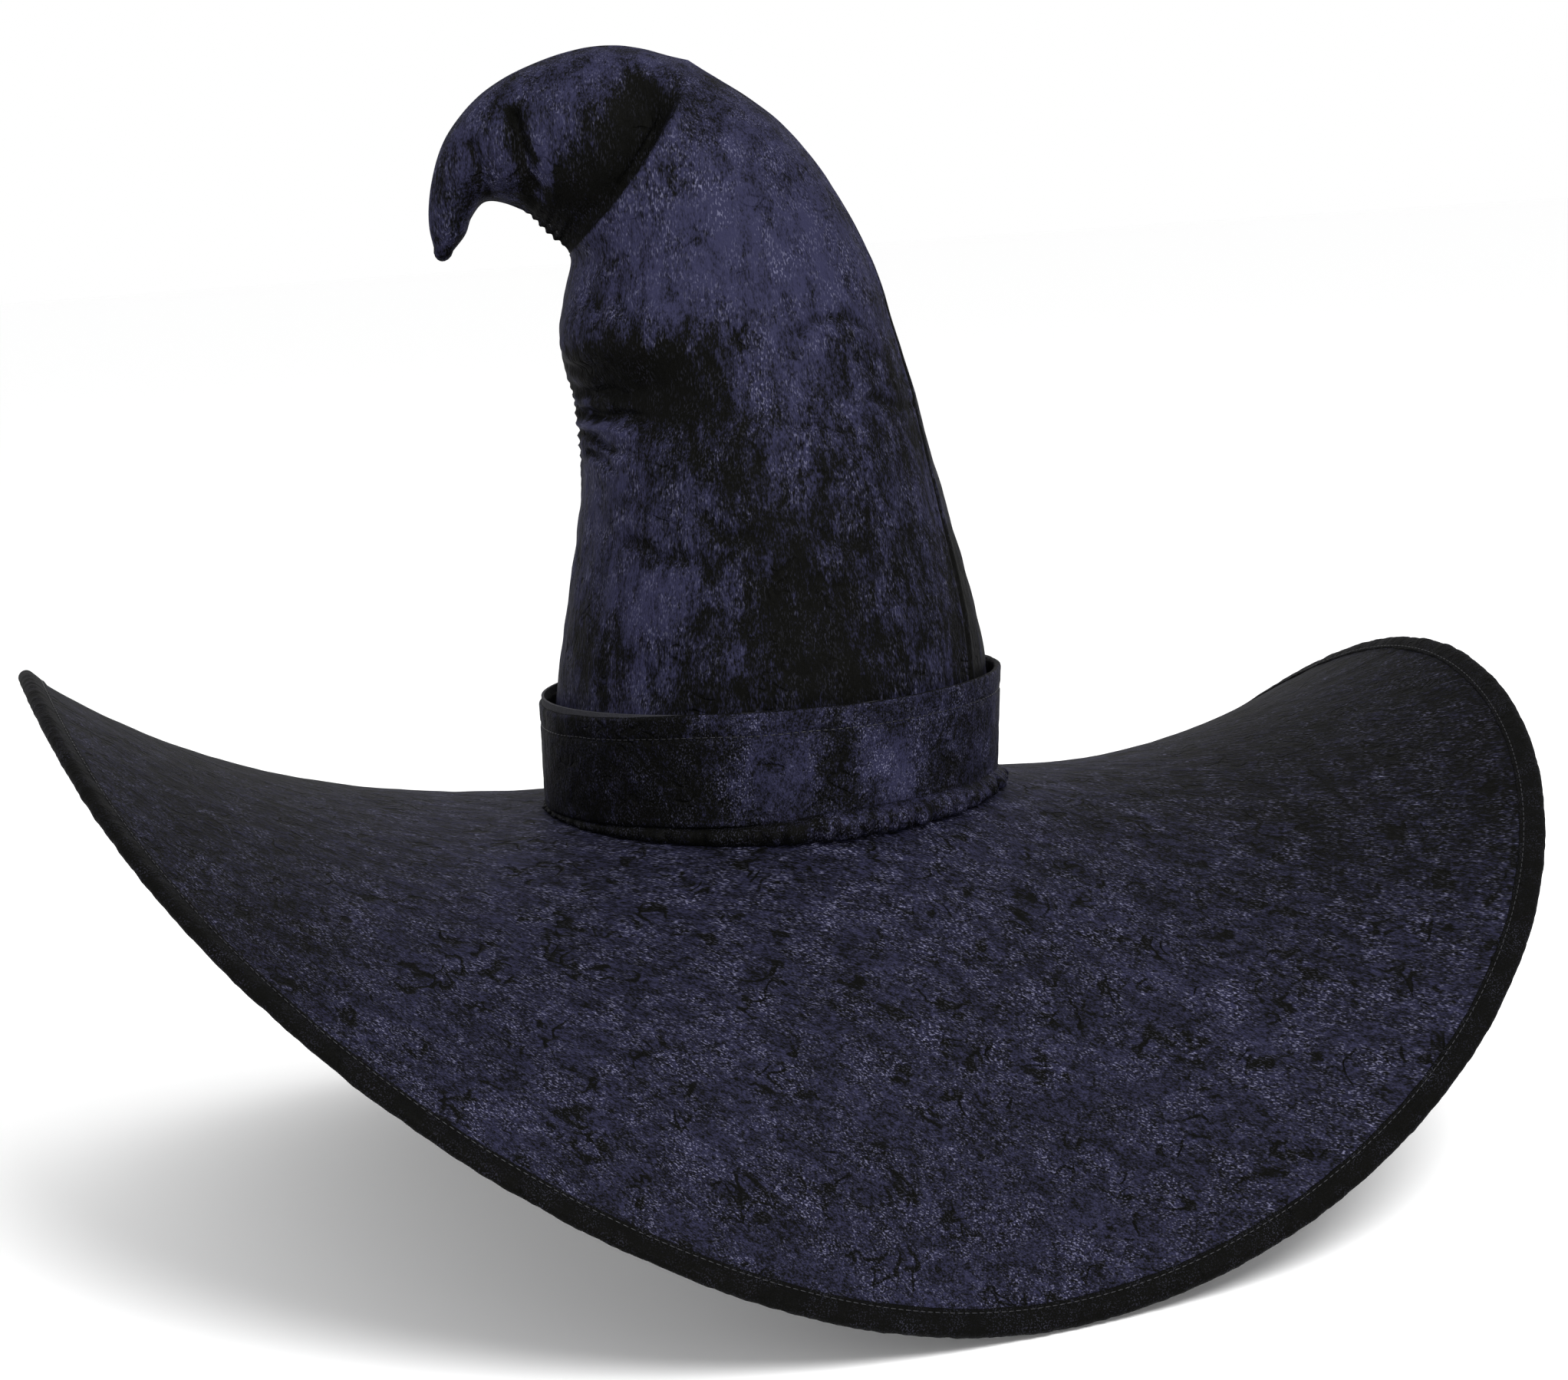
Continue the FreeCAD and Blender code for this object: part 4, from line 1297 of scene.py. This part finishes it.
# ---- the studio ---------------------------------------------------------------------------
class HAT_OT_stage(bpy.types.Operator):
    """Set up the pale floor, the soft lights and the camera"""
    bl_idname = "hat.stage"
    bl_label = "Studio"

    def execute(self, context):
        scene = context.scene
        scene.view_settings.view_transform = "Standard"
        self.floor()
        self.lights(scene)
        self.camera(scene)
        return {"FINISHED"}

    def floor(self):
        """A wide flat floor just under the hat, which runs out into the white surroundings."""
        low = CAD_BOX[0][2] / MM - 1.5
        reach, sides = 20000.0, 64
        turns = [2.0 * math.pi * i / sides for i in range(sides)]
        points = [(reach * math.cos(t), reach * math.sin(t), low) for t in turns]
        faces = [tuple(range(sides))]
        material, tree, shader = new_material("pale seamless paper")
        place = add(tree, "ShaderNodeTexCoord").outputs["Object"]
        grain = add(tree, "ShaderNodeTexNoise",
                    {"Vector": place, "Scale": 40.0, "Detail": 3.0}).outputs["Fac"]
        rough = add(tree, "ShaderNodeMapRange", [grain, 0.3, 0.7, 0.85, 0.95]).outputs[0]
        tree.links.new(rough, shader.inputs["Roughness"])
        shader.inputs["Base Color"].default_value = [*colours().floor, 1.0]
        shader.inputs["Specular IOR Level"].default_value = 0.1
        mesh_object("studio_floor", points, faces, material)

    def lights(self, scene):
        world = bpy.data.worlds.new("Studio")
        scene.world = world
        world.use_nodes = True
        world.node_tree.nodes["Background"].inputs["Color"].default_value = [1.0, 1.0, 1.0, 1.0]
        world.node_tree.nodes["Background"].inputs["Strength"].default_value = 1.0
        aim = Vector((0.0, 0.0, 0.08))
        for name, place, size, power in (("Key", (0.75, -1.75, 1.5), 1.0, 64.0),
                                         ("Fill", (-1.8, -1.6, 0.8), 1.6, 14.0),
                                         ("Top", (0.1, 0.3, 2.2), 1.4, 5.0)):
            lamp = bpy.data.lights.new(name, "AREA")
            lamp.shape = "DISK"
            lamp.size = size
            lamp.energy = power
            obj = bpy.data.objects.new(name, lamp)
            obj.location = place
            obj.rotation_euler = (aim - Vector(place)).to_track_quat("-Z", "Y").to_euler()
            scene.collection.objects.link(obj)

    def camera(self, scene):
        """A long lens just above the brim, tipped down and rolled a little."""
        down, roll = math.radians(8.2), math.radians(3.9)
        flat_up = Vector((0.0, math.sin(down), math.cos(down)))
        across = Vector((1.0, 0.0, 0.0))
        right = across * math.cos(roll) - flat_up * math.sin(roll)
        up = across * math.sin(roll) + flat_up * math.cos(roll)
        back = -Vector((0.0, math.cos(down), -math.sin(down)))
        data = bpy.data.cameras.new("Camera")
        data.sensor_width = 36.0
        data.lens = 82.2
        data.clip_end = 50.0
        obj = bpy.data.objects.new("Camera", data)
        turn = Matrix((right, up, back)).transposed()
        obj.matrix_world = Matrix.Translation((0.0091, -1.5768, 0.2704)) @ turn.to_4x4()
        scene.collection.objects.link(obj)
        scene.camera = obj


class HAT_PT_panel(bpy.types.Panel):
    """Lists the hat's sizes, colours and pieces"""
    bl_label = "Witch Hat"
    bl_idname = "HAT_PT_panel"
    bl_space_type = "VIEW_3D"
    bl_region_type = "UI"
    bl_category = "Witch Hat"

    def draw(self, context):
        for group in (context.scene.hat_sizes, context.scene.hat_colours):
            box = self.layout.box()
            for name in group.__annotations__:
                box.prop(group, name)
        for operator in OPERATORS_IN_ORDER:
            self.layout.operator(operator.bl_idname)


OPERATORS_IN_ORDER = [HAT_OT_stage, HAT_OT_hidden, HAT_OT_hem, HAT_OT_brim, HAT_OT_crown,
                      HAT_OT_lining, HAT_OT_elastic, HAT_OT_band, HAT_OT_roll, HAT_OT_sweatband]
CLASSES = [HatSizes, HatColours, *OPERATORS_IN_ORDER, HAT_PT_panel]


def register():
    """Adds the hat's classes and settings."""
    for cls in CLASSES:
        bpy.utils.register_class(cls)
    bpy.types.Scene.hat_sizes = PointerProperty(type=HatSizes)
    bpy.types.Scene.hat_colours = PointerProperty(type=HatColours)


def unregister():
    """Removes the hat's classes and settings."""
    del bpy.types.Scene.hat_colours
    del bpy.types.Scene.hat_sizes
    for cls in reversed(CLASSES):
        bpy.utils.unregister_class(cls)


def main():
    """Builds the whole hat."""
    register()
    for operator in OPERATORS_IN_ORDER:
        group, name = operator.bl_idname.split(".")
        getattr(getattr(bpy.ops, group), name)()
    bpy.context.view_layer.update()


if __name__ == "__main__":
    main()
